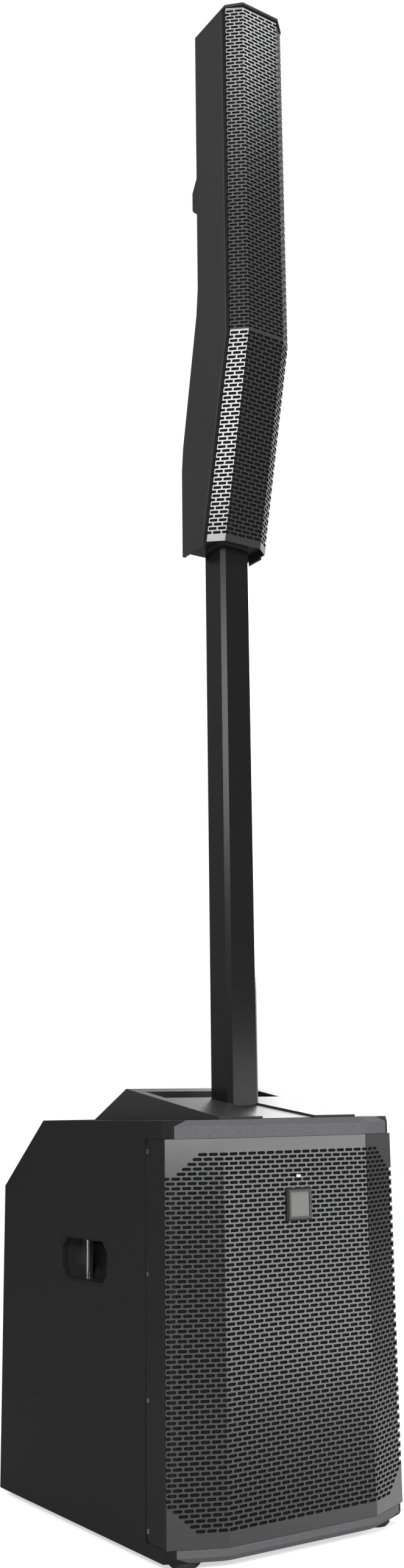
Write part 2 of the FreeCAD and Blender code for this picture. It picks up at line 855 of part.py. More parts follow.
def make_woofer():
    flange = size("woofer_flange")
    depth = size("woofer_depth")
    magnet = woofer_ring * size("magnet_share")
    steel = size("driver_steel")
    gap = size("seat_gap")
    paper = size("cone_paper")
    coil = size("coil_radius")
    rim = woofer_ring - size("cone_rim")
    roll = size("roll_radius")
    deep = size("cone_depth")
    throat = rim + roll * 2 + gap * 2
    neck = coil + size("coil_room")
    seat = size("magnet_height") - depth
    basket = turned("woofer_basket", [
        (woofer_ring, 0), (woofer_ring, flange), (throat, flange), (throat, 0),
        (magnet - steel, seat + steel * 2), (neck, seat + steel * 2), (neck, seat),
        (magnet + steel, seat), (woofer_hole - gap, 0)])
    window = sketch(basket, "XY", seat - flange)
    near_edge = magnet + steel * 3
    far_edge = woofer_hole - steel * 4
    polygon(window, [(near_edge, -magnet / 3), (far_edge, -magnet / 2), (far_edge, magnet / 2),
                     (near_edge, magnet / 3)])
    cut = pocket(basket, window, depth - flange * 4 - size("magnet_height") / 2)
    polar(basket, [cut], 6)

    magnet_ring = turned("woofer_magnet", [
        (coil + steel / 2, -depth), (magnet, -depth), (magnet, seat), (coil + steel / 2, seat)])
    core = coil - steel / 2
    pole_piece = turned("woofer_pole_piece", [
        (0, -depth - flange), (magnet - flange, -depth - flange), (magnet - flange, -depth),
        (core, -depth), (core, seat), (0, seat)])

    coil_low = size("magnet_height") / 2 - depth + size("bass_travel")
    cone = turned("woofer_cone", [
        (rim, flange - paper), (rim, flange), (coil * 1.4, flange - deep * 0.8), (0, flange - deep * 0.5),
        (0, flange - deep * 0.5 - paper), (coil - paper / 2, flange - deep * 0.7 - paper * 2),
        (coil - paper / 2, coil_low), (coil, coil_low), (coil, flange - deep - paper)])

    inner = rim + gap
    outer = rim + roll * 2
    crest = flange + roll * 0.7
    surround = turned("woofer_surround", [
        (inner, flange), (inner, flange - paper), (inner + roll * 0.6, crest - paper),
        (outer - roll * 0.6, crest - paper), (outer, flange - paper), (outer, flange),
        (outer - roll * 0.6, crest), (inner + roll * 0.6, crest)])

    level = seat + steel * 2 + gap
    spider = turned("woofer_spider", [
        (coil + gap, level + roll), (magnet - steel, level), (magnet - steel, level + paper),
        (coil + gap, level + roll + paper)])
    for piece in (basket, magnet_ring, pole_piece, cone, surround, spider):
        place(piece, 0, baffle_front, woofer_z, FACING_FRONT)
        keep(piece)


# Cap on the cabinet: a wedge with a hand slot under its ridge, a shallow channel and the
# square hole that the pole stands in.
def cap_plane(y):
    """The level of the cap's sloped face above a place."""
    ridge_y = front_face + size("cap_ridge")
    front_y = front_face + size("cap_front")
    high = cabinet_top + size("cap_rise")
    low = cabinet_top + size("cap_front_rise")
    return low + (y - front_y) * (high - low) / (ridge_y - front_y)


def make_top_cap():
    wedge = body("top_cap_wedge")
    rear_y = slope_start_y - size("cap_rear_gap")
    ridge_y = front_face + size("cap_ridge")
    front_y = front_face + size("cap_front")
    side = sketch(wedge, "YZ")
    polygon(side, [(rear_y, cabinet_top), (ridge_y, cap_plane(ridge_y)),
                   (front_y, cap_plane(front_y)), (front_y, cabinet_top)])
    pad(wedge, side, size("cap_width"), both=True)
    hand_rear = front_face + size("slot_hand_rear")
    hand_front = front_face + size("slot_hand_front")
    floor = cabinet_top + size("slot_hand_floor")
    lip = cap_plane(hand_rear) - size("slot_hand_lip")
    hand = sketch(wedge, "YZ")
    over = cabinet_top + size("cap_rise") * 2
    polygon(hand, [(hand_rear, over), (hand_front, over), (hand_front, floor),
                   (hand_rear + size("slot_hand_undercut"), floor), (hand_rear, lip)])
    pocket(wedge, hand, size("slot_hand_length"), both=True)
    hole = sketch(wedge, "XY", cabinet_top - 5)
    polygon(hole, pole_outline(size("pole_clearance")))
    pocket(wedge, hole, size("cap_rise") * 2)

    strip = body("channel_strip")
    deep = size("channel_depth")
    strip_side = sketch(strip, "YZ")
    channel_rear = pole_y - pole_half
    polygon(strip_side, [(channel_rear, cap_plane(channel_rear) - deep), (channel_rear, over),
                         (front_y - 5, over), (front_y - 5, cap_plane(front_y - 5) - deep)])
    pad(strip, strip_side, size("cap_width"), both=True)
    wings = body("channel_plan")
    plan = sketch(wings, "XY", cabinet_top - 10)
    rear_half = size("channel_rear_width") / 2
    front_half = size("channel_front_width") / 2
    polygon(plan, [(-rear_half, channel_rear), (-front_half, front_y - 4), (front_half, front_y - 4),
                   (rear_half, channel_rear)])
    pad(wings, plan, size("cap_rise") * 3)
    channel = boolean("Common", "channel", strip, wings)
    return keep(boolean("Cut", "top_cap", wedge, channel))


# Pole: a square tube with chamfered corners, and the seat it stands in.
def pole_outline(grow, shrink_chamfer=0):
    half = pole_half + grow
    cut = size("pole_chamfer") - shrink_chamfer
    quarter = [(half, half - cut), (half - cut, half)]
    corners = quarter + [(-x, y) for x, y in reversed(quarter)]
    corners += [(-x, -y) for x, y in corners]
    return [(x, pole_y + y) for x, y in corners]


def make_pole_socket():
    tube = body("pole_socket")
    wall = size("socket_wall")
    outer = hole_half + wall
    blank = sketch(tube, "XY", socket_bottom - size("socket_floor"))
    rectangle(blank, -outer, pole_y - outer, outer, pole_y + outer)
    pad(tube, blank, size("socket_depth") + size("socket_floor"))
    flange = sketch(tube, "XY", opening_high - wall)
    reach = outer + size("socket_flange")
    rectangle(flange, -reach, pole_y - reach, reach, pole_y + reach)
    pad(tube, flange, wall)
    bore = sketch(tube, "XY", socket_bottom)
    polygon(bore, pole_outline(size("pole_clearance")))
    pocket(tube, bore, size("socket_depth") + 5)
    return keep(tube)


def contact_blades(level_low):
    """Four flat contact blades in a square about the pole's axis."""
    side = 2 * SIZES["contact_radius"]
    blades = []
    for x in (-SIZES["contact_pitch"], SIZES["contact_pitch"]):
        for y in (-SIZES["contact_pitch"], SIZES["contact_pitch"]):
            corner = Vector(x - side / 2, pole_y.value + y - side / 4, level_low)
            blades.append(Part.makeBox(side, side / 2, SIZES["contact_height"], corner))
    return blades


def make_contacts():
    """Blades on the socket's floor and under the spigot, short of the plugs that face them."""
    group("socket_contacts", contact_blades(socket_bottom.value))
    spigot_low = SIZES["pole_top"] - SIZES["spigot_length"]
    group("array_contacts", contact_blades(spigot_low - SIZES["contact_height"]))


def make_pole():
    tube = body("pole_tube")
    high = size("pole_top")
    section = sketch(tube, "XY", pole_bottom)
    wall = size("pole_wall")
    polygon(section, pole_outline(Size.of(0)))
    polygon(section, pole_outline(-wall, wall * (2 - math.sqrt(2))))
    pad(tube, section, high - pole_bottom)
    keep(tube)
    inner = -wall
    foot_low = pole_bottom + size("plug_recess")
    head_high = high - size("spigot_length") - size("plug_recess")
    for label, low in (("pole_foot_plug", foot_low), ("pole_head_plug", head_high - size("plug_height"))):
        plug = body(label)
        block = sketch(plug, "XY", low)
        polygon(block, pole_outline(inner, wall * (2 - math.sqrt(2))))
        circle(block, 0, pole_y, size("cable_radius"))
        pad(plug, block, size("plug_height"))
        keep(plug)
    cable = body("pole_cable")
    route = sketch(cable, "XY", foot_low + 1)
    circle(route, 0, pole_y, size("cable_radius") - size("shaft_clearance"))
    pad(cable, route, head_high - foot_low - 2)
    keep(cable)


# Line array: a slim moulded housing that stands upright above a knee and leans back below it.
array_half = size("array_width") / 2
lid_front = pole_y - size("array_front")
array_rear_y = pole_y + size("array_rear")
array_foot_y = pole_y + size("array_rear_low")
array_low = size("array_bottom")
array_high = size("array_top")
lid_low = array_high - size("array_lid")
knee = size("array_knee")
side_edge = lid_front + size("array_flange")
lean_rate = size("array_lean") / (knee - array_low)
lean_angle = math.degrees(math.atan2(SIZES["array_lean"], SIZES["array_knee"] - SIZES["array_bottom"]))


def lean(y, level):
    """A front line's place at a level below the knee."""
    return y + (knee - level) * lean_rate


def make_array_housing():
    shell = body("array_housing_outside")
    side = sketch(shell, "YZ")
    bend_high = size("array_rear_bend")
    bend_low = size("array_rear_foot")
    polygon(side, [(side_edge, array_high), (side_edge, knee), (lean(side_edge, array_low), array_low),
                   (array_foot_y, array_low), (array_foot_y, bend_low), (array_rear_y, bend_high),
                   (array_rear_y, array_high)])
    pad(shell, side, size("array_width"), both=True)

    def on_rear(point):
        upper = near(point.y, array_rear_y)
        lower = near(point.y, array_foot_y)
        return (upper or lower) and near(abs(point.x), array_half)

    chamfer(shell, on_rear, size("array_rear_chamfer"))
    lid = sketch(shell, "XY", lid_low)
    half_lid_face = size("lid_face_width") / 2
    polygon(lid, [(array_half, side_edge + 1), (array_half, lid_front),
                  (half_lid_face, lid_front - size("lid_rise")),
                  (-half_lid_face, lid_front - size("lid_rise")), (-array_half, lid_front),
                  (-array_half, side_edge + 1)])
    pad(shell, lid, size("array_lid"))
    chamfer(shell, lambda point: near(point.z, array_high), size("lid_bevel"))

    def on_front_edge(point):
        front_y = side_edge if point.z > knee.value - 0.05 else lean(side_edge, point.z)
        return near(point.y, front_y) and near(abs(point.x), array_half) and point.z < lid_low.value + 0.05

    chamfer(shell, on_front_edge, size("array_edge_bevel"))
    wall = size("array_wall")
    core = body("array_housing_inside")
    inner = sketch(core, "YZ")
    beyond = lid_front - size("array_width")
    polygon(inner, [(beyond, lid_low), (beyond, knee), (lean(beyond, array_low), array_low - 5),
                    (array_foot_y - wall, array_low - 5), (array_foot_y - wall, bend_low),
                    (array_rear_y - wall, bend_high), (array_rear_y - wall, lid_low)])
    pad(core, inner, size("array_width") - wall * 2, both=True)

    def on_inner_rear(point):
        upper = near(point.y, array_rear_y - wall)
        lower = near(point.y, array_foot_y - wall)
        return (upper or lower) and near(abs(point.x), array_half - wall)

    chamfer(core, on_inner_rear, size("array_rear_chamfer") - wall * (2 - math.sqrt(2)))
    return keep(boolean("Cut", "array_housing", shell, core))


def array_contour(inset, rear_y):
    half = size("array_grille_width") / 2
    half_centre = size("array_face_width") / 2
    corner = lid_front
    return front_line(half, half_centre, corner, corner - size("array_facet_fall"), inset, rear_y)


def array_front_sheet(label, inset, thickness, rear_y, top, bottom):
    """A folded sheet that follows the array's front above and below the knee."""
    outline = array_contour(inset, rear_y) + list(reversed(array_contour(inset + thickness, rear_y)))
    upper = body(f"{label}_upper")
    section = sketch(upper, "XY", knee)
    polygon(section, outline)
    pad(upper, section, top - knee)
    section = doc.addObject("Sketcher::SketchObject", f"{label}_section")
    section.setExpression("Placement.Base.z", knee.text)
    section.Placement = Placement(Vector(0, 0, knee.value), Rotation())
    polygon(section, outline)
    lower = doc.addObject("Part::Extrusion", f"{label}_lower")
    lower.Base = section
    lower.DirMode = "Custom"
    lower.Dir = Vector(0, lean_rate.value, -1)
    lower.setExpression("Dir.y", lean_rate.text)
    lower.setExpression("LengthFwd", ((knee - bottom) * root(1 + lean_rate * lean_rate)).text)
    lower.Solid = True
    doc.recompute()
    return boolean("Fuse", f"{label}_sheet", upper, lower)


def make_array_grille():
    top = lid_low - size("grille_top_gap")
    bottom = array_low + size("plate_thickness")
    rear_y = side_edge - size("seat_gap")
    blank = array_front_sheet("array_grille", Size.of(0), size("array_sheet"), rear_y, top, bottom)
    points = plan_points(array_contour(Size.of(0), rear_y))
    slot = (SIZES["array_slot_width"], SIZES["array_slot_height"], SIZES["array_slot_pitch"],
            SIZES["array_slot_row"], SIZES["array_sheet"] * 8)
    band = SIZES["array_band"]
    cutters = face_slots(points[1:5], (knee.value + band / 2, top.value - band / 3), slot, 0)
    for cutter in face_slots(points[1:5], (bottom.value + band, knee.value - band / 2), slot, 0):
        cutter.translate(Vector(0, (knee.value - cutter.Placement.Base.z) * lean_rate.value, 0))
        cutters.append(cutter)
    tool = doc.addObject("Part::Feature", "array_grille_slots")
    tool.Shape = Part.makeCompound(cutters)
    return keep(boolean("Cut", "array_grille", blank, tool))


def make_array_foam():
    inset = size("array_sheet") + size("seat_gap")
    rear_y = lid_front + size("array_flange") / 2
    foam = array_front_sheet("array_foam", inset, size("foam_thickness") / 2, rear_y,
                             lid_low - size("seat_gap"), array_low + size("plate_recess"))
    foam.Label = "array_grille_foam"
    return keep(foam)


# The array's baffle plates: one upright, one leaning, with a round hole for each driver.
baffle_y = lid_front + size("array_baffle_setback")
inner_width = size("array_width") - size("array_wall") * 2
upper_length = lid_low - knee
drivers_above = 5
drivers_below = 3


def lower_frame():
    """The placement of the leaning baffle: local X across, Y up the slope, Z to the front."""
    up = Vector(0, -lean_rate.value, 1).normalize()
    across = Vector(1, 0, 0)
    return Placement(Vector(0, baffle_y.value, knee.value), Rotation(across, up, Vector(), "XYZ"))


def upper_frame():
    return Placement(Vector(0, baffle_y.value, knee.value), FACING_FRONT)


def driver_frames(part):
    """Where each driver of the upper or lower baffle sits, as placements."""
    places = []
    if part == "upper":
        pitch = SIZES["driver_pitch"]
        first = (upper_length.value - (drivers_above - 1) * pitch) / 2
        for index in range(drivers_above):
            places.append(upper_frame() * Placement(Vector(0, first + index * pitch, 0), Rotation()))
    else:
        pitch = SIZES["driver_pitch_low"]
        length = (knee.value - array_low.value - SIZES["plate_recess"]) / math.cos(math.radians(lean_angle))
        first = (length - (drivers_below - 1) * pitch) / 2
        for index in range(drivers_below):
            places.append(lower_frame() * Placement(Vector(0, -first - index * pitch, 0), Rotation()))
    return places


def make_array_baffles():
    for part in ("upper", "lower"):
        frames = driver_frames(part)
        low = -SIZES["array_baffle"]
        half = inner_width.value / 2
        if part == "upper":
            frame = upper_frame()
            board = Part.makeBox(2 * half, upper_length.value, -low, Vector(-half, 0, low))
        else:
            frame = lower_frame()
            slack = SIZES["array_baffle"] * lean_rate.value
            long = (knee.value - array_low.value - SIZES["plate_recess"] - SIZES["plate_thickness"])
            long = long / math.cos(math.radians(lean_angle)) - 2 * slack
            board = Part.makeBox(2 * half, long, -low, Vector(-half, -long - slack, low))
        board.Placement = frame
        for driver in frames:
            hole = Part.makeCylinder(SIZES["driver_hole"], 4 * SIZES["array_baffle"],
                                     Vector(0, 0, -3 * SIZES["array_baffle"]))
            hole.Placement = driver
            board = board.cut(hole)
        shape_part(f"array_baffle_{part}", board)


def spread(shape, part):
    copies = []
    for driver in driver_frames(part):
        twin = shape.copy()
        twin.Placement = driver
        copies.append(twin)
    return copies


def octagon(reach, level):
    """An eight-sided outline, with reach from its middle to each flat."""
    radius = reach / math.cos(math.pi / 8)
    turns = [(number + 0.5) * math.pi / 4 for number in range(8)]
    corners = [Vector(radius * math.cos(turn), radius * math.sin(turn), level) for turn in turns]
    return Part.makePolygon(corners + corners[:1])


def tapered(low_reach, low, high_reach, high):
    """An eight-sided block between two levels."""
    return Part.makeLoft([octagon(low_reach, low), octagon(high_reach, high)], True, True)


def make_array_drivers():
    """Eight small drivers: cut-cornered frames and magnets, round cones and their surrounds."""
    flange = SIZES["driver_flange"]
    depth = SIZES["driver_depth"]
    seat = SIZES["driver_magnet_height"] - depth
    coil = SIZES["driver_coil_radius"]
    rim = SIZES["driver_cone_radius"]
    gap = SIZES["seat_gap"]
    room = SIZES["array_travel"] / 2
    magnet = SIZES["driver_magnet_radius"]
    throat = rim + 2 * SIZES["driver_roll"] + 2 * gap
    shoulder = (SIZES["driver_hole"] - gap) * math.cos(math.pi / 8)
    face = tapered(SIZES["driver_radius"], 0, SIZES["driver_radius"], flange)
    basket = tapered(magnet + flange, seat, shoulder, 0)
    step = flange - SIZES["driver_paper"] - gap
    inside = tapered(coil + room * 2, seat + flange, throat, step)
    inside = inside.fuse(tapered(throat, step, throat, flange))
    neck = tapered(coil + room, seat, coil + room, seat + flange)
    frame = face.fuse(basket).cut(inside).cut(neck).removeSplitter()
    bore = Part.makeCylinder(coil + room, seat + depth - flange, Vector(0, 0, flange - depth))
    block = tapered(magnet, -depth, magnet, seat).cut(bore)
    group("array_driver_frames", spread(frame, "upper") + spread(frame, "lower"))
    group("array_driver_magnets", spread(block, "upper") + spread(block, "lower"))

    paper = size("driver_paper")
    face_z = size("driver_flange")
    deep = size("driver_cone_depth")
    coil_low = size("driver_flange") - size("driver_depth") + size("array_travel") * 1.6
    edge = size("driver_cone_radius")
    bobbin = size("driver_coil_radius")
    cone = turned("driver_cone_master", [
        (edge, face_z - paper), (edge, face_z), (0, face_z - deep * 0.6), (0, face_z - deep * 0.6 - paper),
        (bobbin - paper / 2, face_z - deep - paper), (bobbin - paper / 2, coil_low), (bobbin, coil_low),
        (bobbin, face_z - deep - paper)])
    inner = edge + size("seat_gap")
    outer = inner + size("driver_roll") * 2
    surround = turned("driver_surround_master", [
        (inner, face_z - paper), (outer, face_z - paper), (outer, face_z), (inner, face_z)])
    for part in ("upper", "lower"):
        group(f"array_cones_{part}", spread(cone.Shape, part))
        group(f"array_surrounds_{part}", spread(surround.Shape, part))


def make_bottom_plate():
    plate = body("array_bottom_plate")
    level = array_low + size("plate_recess")
    wall = size("array_wall")
    reach = array_half - wall
    front = lean(baffle_y, array_low + size("plate_recess")) - size("array_baffle")
    rear = array_foot_y - wall
    cut = size("array_rear_chamfer") - wall * (2 - math.sqrt(2))
    outline = sketch(plate, "XY", level)
    polygon(outline, [(-reach, front), (reach, front), (reach, rear - cut), (reach - cut, rear),
                      (cut - reach, rear), (-reach, rear - cut)])
    pad(plate, outline, size("plate_thickness"))
    return keep(plate)


def make_pole_spigot():
    """The neck under the array and the spigot that enters the pole."""
    spigot = body("pole_spigot")
    level = array_low + size("plate_recess")
    neck_low = size("pole_top") + size("neck_gap")
    neck = sketch(spigot, "XY", neck_low)
    polygon(neck, pole_outline(Size.of(0)))
    pad(spigot, neck, level - neck_low)
    pin = sketch(spigot, "XY", size("pole_top") - size("spigot_length"))
    wall = size("pole_wall") + size("spigot_clearance")
    polygon(pin, pole_outline(-wall, wall * (2 - math.sqrt(2))))
    pad(spigot, pin, size("spigot_length") + size("neck_gap"))
    return keep(spigot)


def make_rear_boss():
    """A moulded hump on the array's back with a sloped top and a rounded foot."""
    boss = body("rear_boss")
    side = sketch(boss, "YZ")
    back = array_rear_y
    deep = back + size("boss_depth")
    polygon(side, [(back, size("boss_top")), (deep, size("boss_shoulder")), (deep, size("boss_heel")),
                   (back, size("boss_bottom"))])
    pad(boss, side, size("boss_width"), both=True)
    heel = size("boss_heel")
    fillet(boss, lambda point: near(point.y, deep) and near(point.z, heel), size("boss_fillet"))
    return keep(boss)


# Control panel on the slope, in its own frame: X across, Y up the slope, Z out of the panel.
def slope_frame(across, along, out):
    """A placement on the slope; along is measured down from its top edge."""
    down_y = slope_y.value
    down_z = slope_z.value
    normal = Vector(0, down_z, down_y)
    up = Vector(0, -down_y, down_z)
    start = Vector(0, slope_start_y.value, cabinet_top.value)
    base = start - up * along + normal * out + Vector(-across, 0, 0)
    return Placement(base, Rotation(Vector(-1, 0, 0), up, normal, "ZXY"))


panel_middle = (SIZES["panel_start"] + SIZES["panel_length"] / 2)
knob_places = [((index - 2.4) * SIZES["knob_pitch"], SIZES["knob_row"]) for index in range(4)]
wheel_place = (SIZES["wheel_offset"], SIZES["wheel_row"])
window_place = (-SIZES["window_offset"], SIZES["wheel_row"])
wheel_grips = 8


def make_control_panel():
    half = SIZES["panel_width"] / 2 - SIZES["seat_gap"]
    long = SIZES["panel_length"] - 2 * SIZES["seat_gap"]
    sheet_metal = SIZES["panel_sheet"]
    plate = Part.makeBox(2 * half, long, sheet_metal, Vector(-half, -long / 2, -sheet_metal))
    plate.Placement = slope_frame(0, panel_middle, 0)
    hole = SIZES["shaft_radius"] + SIZES["shaft_clearance"]
    for across, along in knob_places + [wheel_place]:
        bore = Part.makeCylinder(hole, sheet_metal * 4, Vector(0, 0, -sheet_metal * 2))
        bore.Placement = slope_frame(across, along, 0)
        plate = plate.cut(bore)
    width = SIZES["window_width"]
    high = SIZES["window_height"]
    recess = Part.makeBox(width, high, sheet_metal, Vector(-width / 2, -high / 2, -SIZES["window_sheet"]))
    recess.Placement = slope_frame(*window_place, 0)
    plate = plate.cut(recess)
    shape_part("control_panel", plate)
    glass = Part.makeBox(width - 0.4, high - 0.4, SIZES["window_sheet"],
                         Vector(0.2 - width / 2, 0.2 - high / 2, -SIZES["window_sheet"]))
    glass.Placement = slope_frame(*window_place, 0)
    shape_part("display_window", glass)


def make_pots():
    """The bodies of the four level controls and of the menu wheel, under the panel."""
    hole = SIZES["shaft_radius"] + SIZES["shaft_clearance"]
    pots = []
    for across, along in knob_places + [wheel_place]:
        half = SIZES["pot_radius"]
        tall = SIZES["pot_height"]
        can = Part.makeBox(half * 2, half * 2, tall, Vector(-half, -half, -tall))
        bore = Part.makeCylinder(hole, tall * 0.9, Vector(0, 0, -tall * 0.9))
        can = can.cut(bore)
        can.Placement = slope_frame(across, along, -SIZES["panel_sheet"])
        pots.append(can)
    group("control_bodies", pots)


def knob_master(label, radius, height, skirt):
    """A tapered knob with a skirt and its shaft."""
    gap = size("knob_gap")
    shaft = size("shaft_radius")
    return turned(label, [
        (0, -size("shaft_length")), (shaft, -size("shaft_length")), (shaft, gap), (radius + skirt, gap),
        (radius + skirt, gap + 2), (radius * 0.8, height), (0, height)])


def make_knobs():
    """Four level knobs with a pointer groove, and a menu wheel that turns on its sprung shaft."""
    high = SIZES["knob_height"]
    master = knob_master("knob_master", size("knob_radius"), size("knob_height"), size("knob_skirt"))
    groove = Part.makeBox(1.2, SIZES["knob_radius"], high, Vector(-0.6, 1, high - 0.8))
    shape = master.Shape.cut(groove)
    for number, (across, along) in enumerate(knob_places, start=1):
        knob = shape.copy()
        knob.Placement = slope_frame(across, along, 0)
        shape_part(f"level_knob_{number}", knob)

    stroke = SIZES["wheel_stroke"]
    gap = SIZES["knob_gap"]
    radius = SIZES["wheel_radius"]
    shaft = SIZES["shaft_radius"]
    long = SIZES["shaft_length"]
    core = shaft * 0.6
    entry = SIZES["wheel_height"] / 3
    shape = Part.makeCylinder(radius, SIZES["wheel_height"] - gap, Vector(0, 0, gap))
    for index in range(wheel_grips):
        flute = Part.makeBox(radius, 2.4, SIZES["wheel_height"], Vector(radius - 0.9, -1.2, gap + 2))
        flute.rotate(Vector(), Vector(0, 0, 1), index * 360 / wheel_grips)
        shape = shape.cut(flute)
    wheel = shape.cut(Part.makeCylinder(core + SIZES["shaft_clearance"], entry, Vector()))
    wheel.Placement = slope_frame(*wheel_place, stroke)
    shape_part("menu_wheel", wheel)
    collar = Part.makeCylinder(shaft, long - stroke, Vector(0, 0, stroke - long))
    stem = collar.fuse(Part.makeCylinder(core, stroke + entry + 0.5, Vector(0, 0, -1)))
    stem.Placement = slope_frame(*wheel_place, 0)
    shape_part("menu_shaft", stem)


# Connection plate on the rear: two line inputs, one link output, the mains inlet and switch.
plate_z = cabinet_top - size("plate_drop")
plate_face = rear_face - size("plate_sink")
socket_places = [(-SIZES["socket_offset"] + index * SIZES["socket_pitch"], SIZES["socket_row"])
                 for index in range(3)]


def rear_box(width, height, depth, across, level, out):
    """A box against the rear plate: across to +X, level above the plate's middle."""
    base = Vector(across - width / 2, plate_face.value + out - depth, plate_z.value + level - height / 2)
    return Part.makeBox(width, depth, height, base)


def rear_rod(radius, depth, across, level, out):
    base = Vector(across, plate_face.value + out - depth, plate_z.value + level)
    return Part.makeCylinder(radius, depth, base, Vector(0, 1, 0))


inlet_at = (SIZES["inlet_offset"], -SIZES["inlet_row"])
rocker_at = (SIZES["rocker_offset"], -SIZES["inlet_row"])


def make_connection_plate():
    gap = SIZES["seat_gap"]
    sheet_metal = SIZES["panel_sheet"]
    plate = rear_box(SIZES["plate_width"] - 2 * gap, SIZES["plate_height"] - 2 * gap, sheet_metal, 0, 0, 0)
    for across, level in socket_places:
        plate = plate.cut(rear_rod(SIZES["socket_radius"] + gap, 20, across, level, 5))
    inlet = rear_box(SIZES["inlet_width"] + gap, SIZES["inlet_height"] + gap, 20, *inlet_at, 5)
    frame = rear_box(SIZES["rocker_width"] + 2 * SIZES["rocker_frame"] + gap,
                     SIZES["rocker_height"] + 2 * SIZES["rocker_frame"] + gap, 20, *rocker_at, 5)
    shape_part("connection_plate", plate.cut(inlet).cut(frame))


def make_line_sockets():
    inputs = []
    for across, level in socket_places:
        can = rear_rod(SIZES["socket_radius"], SIZES["socket_length"], across, level, -0.5)
        flange = rear_box(SIZES["socket_flange_width"], SIZES["socket_flange_height"],
                          SIZES["socket_flange_sheet"], across, level, -SIZES["panel_sheet"])
        bore = rear_rod(SIZES["socket_bore"], SIZES["socket_bore_depth"], across, level, -0.5)
        inputs.append(can.fuse(flange).cut(bore))
    group("input_sockets", inputs[:2])
    link = inputs[2]
    across, level = socket_places[2]
    for turn in (-1, 0, 1):
        pin = rear_rod(1.2, 9, across + turn * 4.5, level - 3.5 + 5 * (turn == 0),
                       -SIZES["socket_bore_depth"] + 9 - 0.5)
        link = link.fuse(pin)
    shape_part("link_socket", link)


def make_mains_inlet():
    wall = SIZES["inlet_wall"]
    width = SIZES["inlet_width"]
    height = SIZES["inlet_height"]
    shell = rear_box(width, height, SIZES["inlet_depth"], *inlet_at, -0.5)
    hollow = rear_box(width - 2 * wall, height - 2 * wall, SIZES["inlet_depth"] - wall * 2, *inlet_at, -0.5)
    lugs = rear_box(width + 12, height - 4, 2, *inlet_at, -SIZES["panel_sheet"])
    shell = shell.fuse(lugs).cut(hollow)
    for across, level in ((-7, 3), (0, -3), (7, 3)):
        pin = rear_box(2, 4, SIZES["inlet_depth"] - wall * 2 - 4, inlet_at[0] + across * 0.8,
                       inlet_at[1] + level, -4.5)
        shell = shell.fuse(pin)
    shape_part("mains_inlet", shell)


def make_rocker():
    width = SIZES["rocker_width"]
    height = SIZES["rocker_height"]
    frame_wall = SIZES["rocker_frame"]
    gap = SIZES["rocker_gap"]
    frame = rear_box(width + 2 * frame_wall, height + 2 * frame_wall, 16, *rocker_at, -0.5)
    hollow = rear_box(width, height, 14, *rocker_at, -0.5)
    shape_part("switch_frame", frame.cut(hollow))
    rocker = body("power_rocker")
    profile = sketch(rocker, "YZ", -width / 2 + gap)
    tilt = math.tan(math.radians(SIZES["rocker_tilt"] / 2))
    reach = height / 2 - gap * 2
    centre = plate_face - 3.5
    level = plate_z + rocker_at[1]
    polygon(profile, [(centre, level + reach), (centre - 5, level + reach * 0.8),
                      (centre - 7, level), (centre - 5, level - reach * 0.8), (centre, level - reach),
                      (centre + 2.2 * reach * tilt, level - reach * 0.8), (centre + 0.4, level)])
    pad(rocker, profile, width - 2 * gap)
    place(rocker, rocker_at[0])
    return keep(rocker)


# Amplifier: a folded chassis behind the connection plate, with its board and finned heat sink.
def make_amplifier():
    sheet_metal = SIZES["chassis_sheet"]
    width = SIZES["plate_width"] - 2 * SIZES["panel_ledge"] - 4
    height = SIZES["plate_height"] - 2 * SIZES["panel_ledge"] - 4
    deep = SIZES["chassis_depth"]
    seat = -SIZES["panel_sheet"]
    outer = rear_box(width, height, deep, 0, 0, seat)
    inner = rear_box(width - 2 * sheet_metal, height, deep - sheet_metal, 0, sheet_metal, seat)
    shape_part("amplifier_chassis", outer.cut(inner))

    clear = SIZES["socket_length"] + SIZES["board_front_gap"]
    long = deep - clear - SIZES["board_rear_gap"]
    floor = sheet_metal - height / 2
    top = floor + SIZES["board_gap"] + SIZES["board_sheet"]
    board = rear_box(width - 2 * sheet_metal - 1, SIZES["board_sheet"], long, 0,
                     top - SIZES["board_sheet"] / 2, -clear)
    inset = SIZES["board_post_inset"]
    for across in (inset - width / 2, width / 2 - inset):
        for out in (clear + inset, clear + long - inset):
            base = Vector(across, plate_face.value - out, plate_z.value + floor)
            board = board.fuse(Part.makeCylinder(SIZES["board_post"], SIZES["board_gap"], base))
    side = SIZES["transformer_side"]
    core = rear_box(side, side * 0.75, side, -width / 4, top + side * 0.375, -clear - inset)
    shape_part("circuit_board", board.fuse(core))

    plate = SIZES["sink_plate"]
    sink_width = width - 2 * plate
    sink_height = height - 4 * plate
    sink = rear_box(sink_width, sink_height, plate, 0, 0, seat - deep)
    count = int(SIZES["fin_count"])
    fin_pitch = (sink_width - SIZES["fin_sheet"]) / (count - 1)
    for index in range(count):
        across = (index - (count - 1) / 2) * fin_pitch
        sink = sink.fuse(rear_box(SIZES["fin_sheet"], sink_height, SIZES["fin_height"], across, 0,
                                  seat - deep - plate))
    shape_part("heat_sink", sink.removeSplitter())


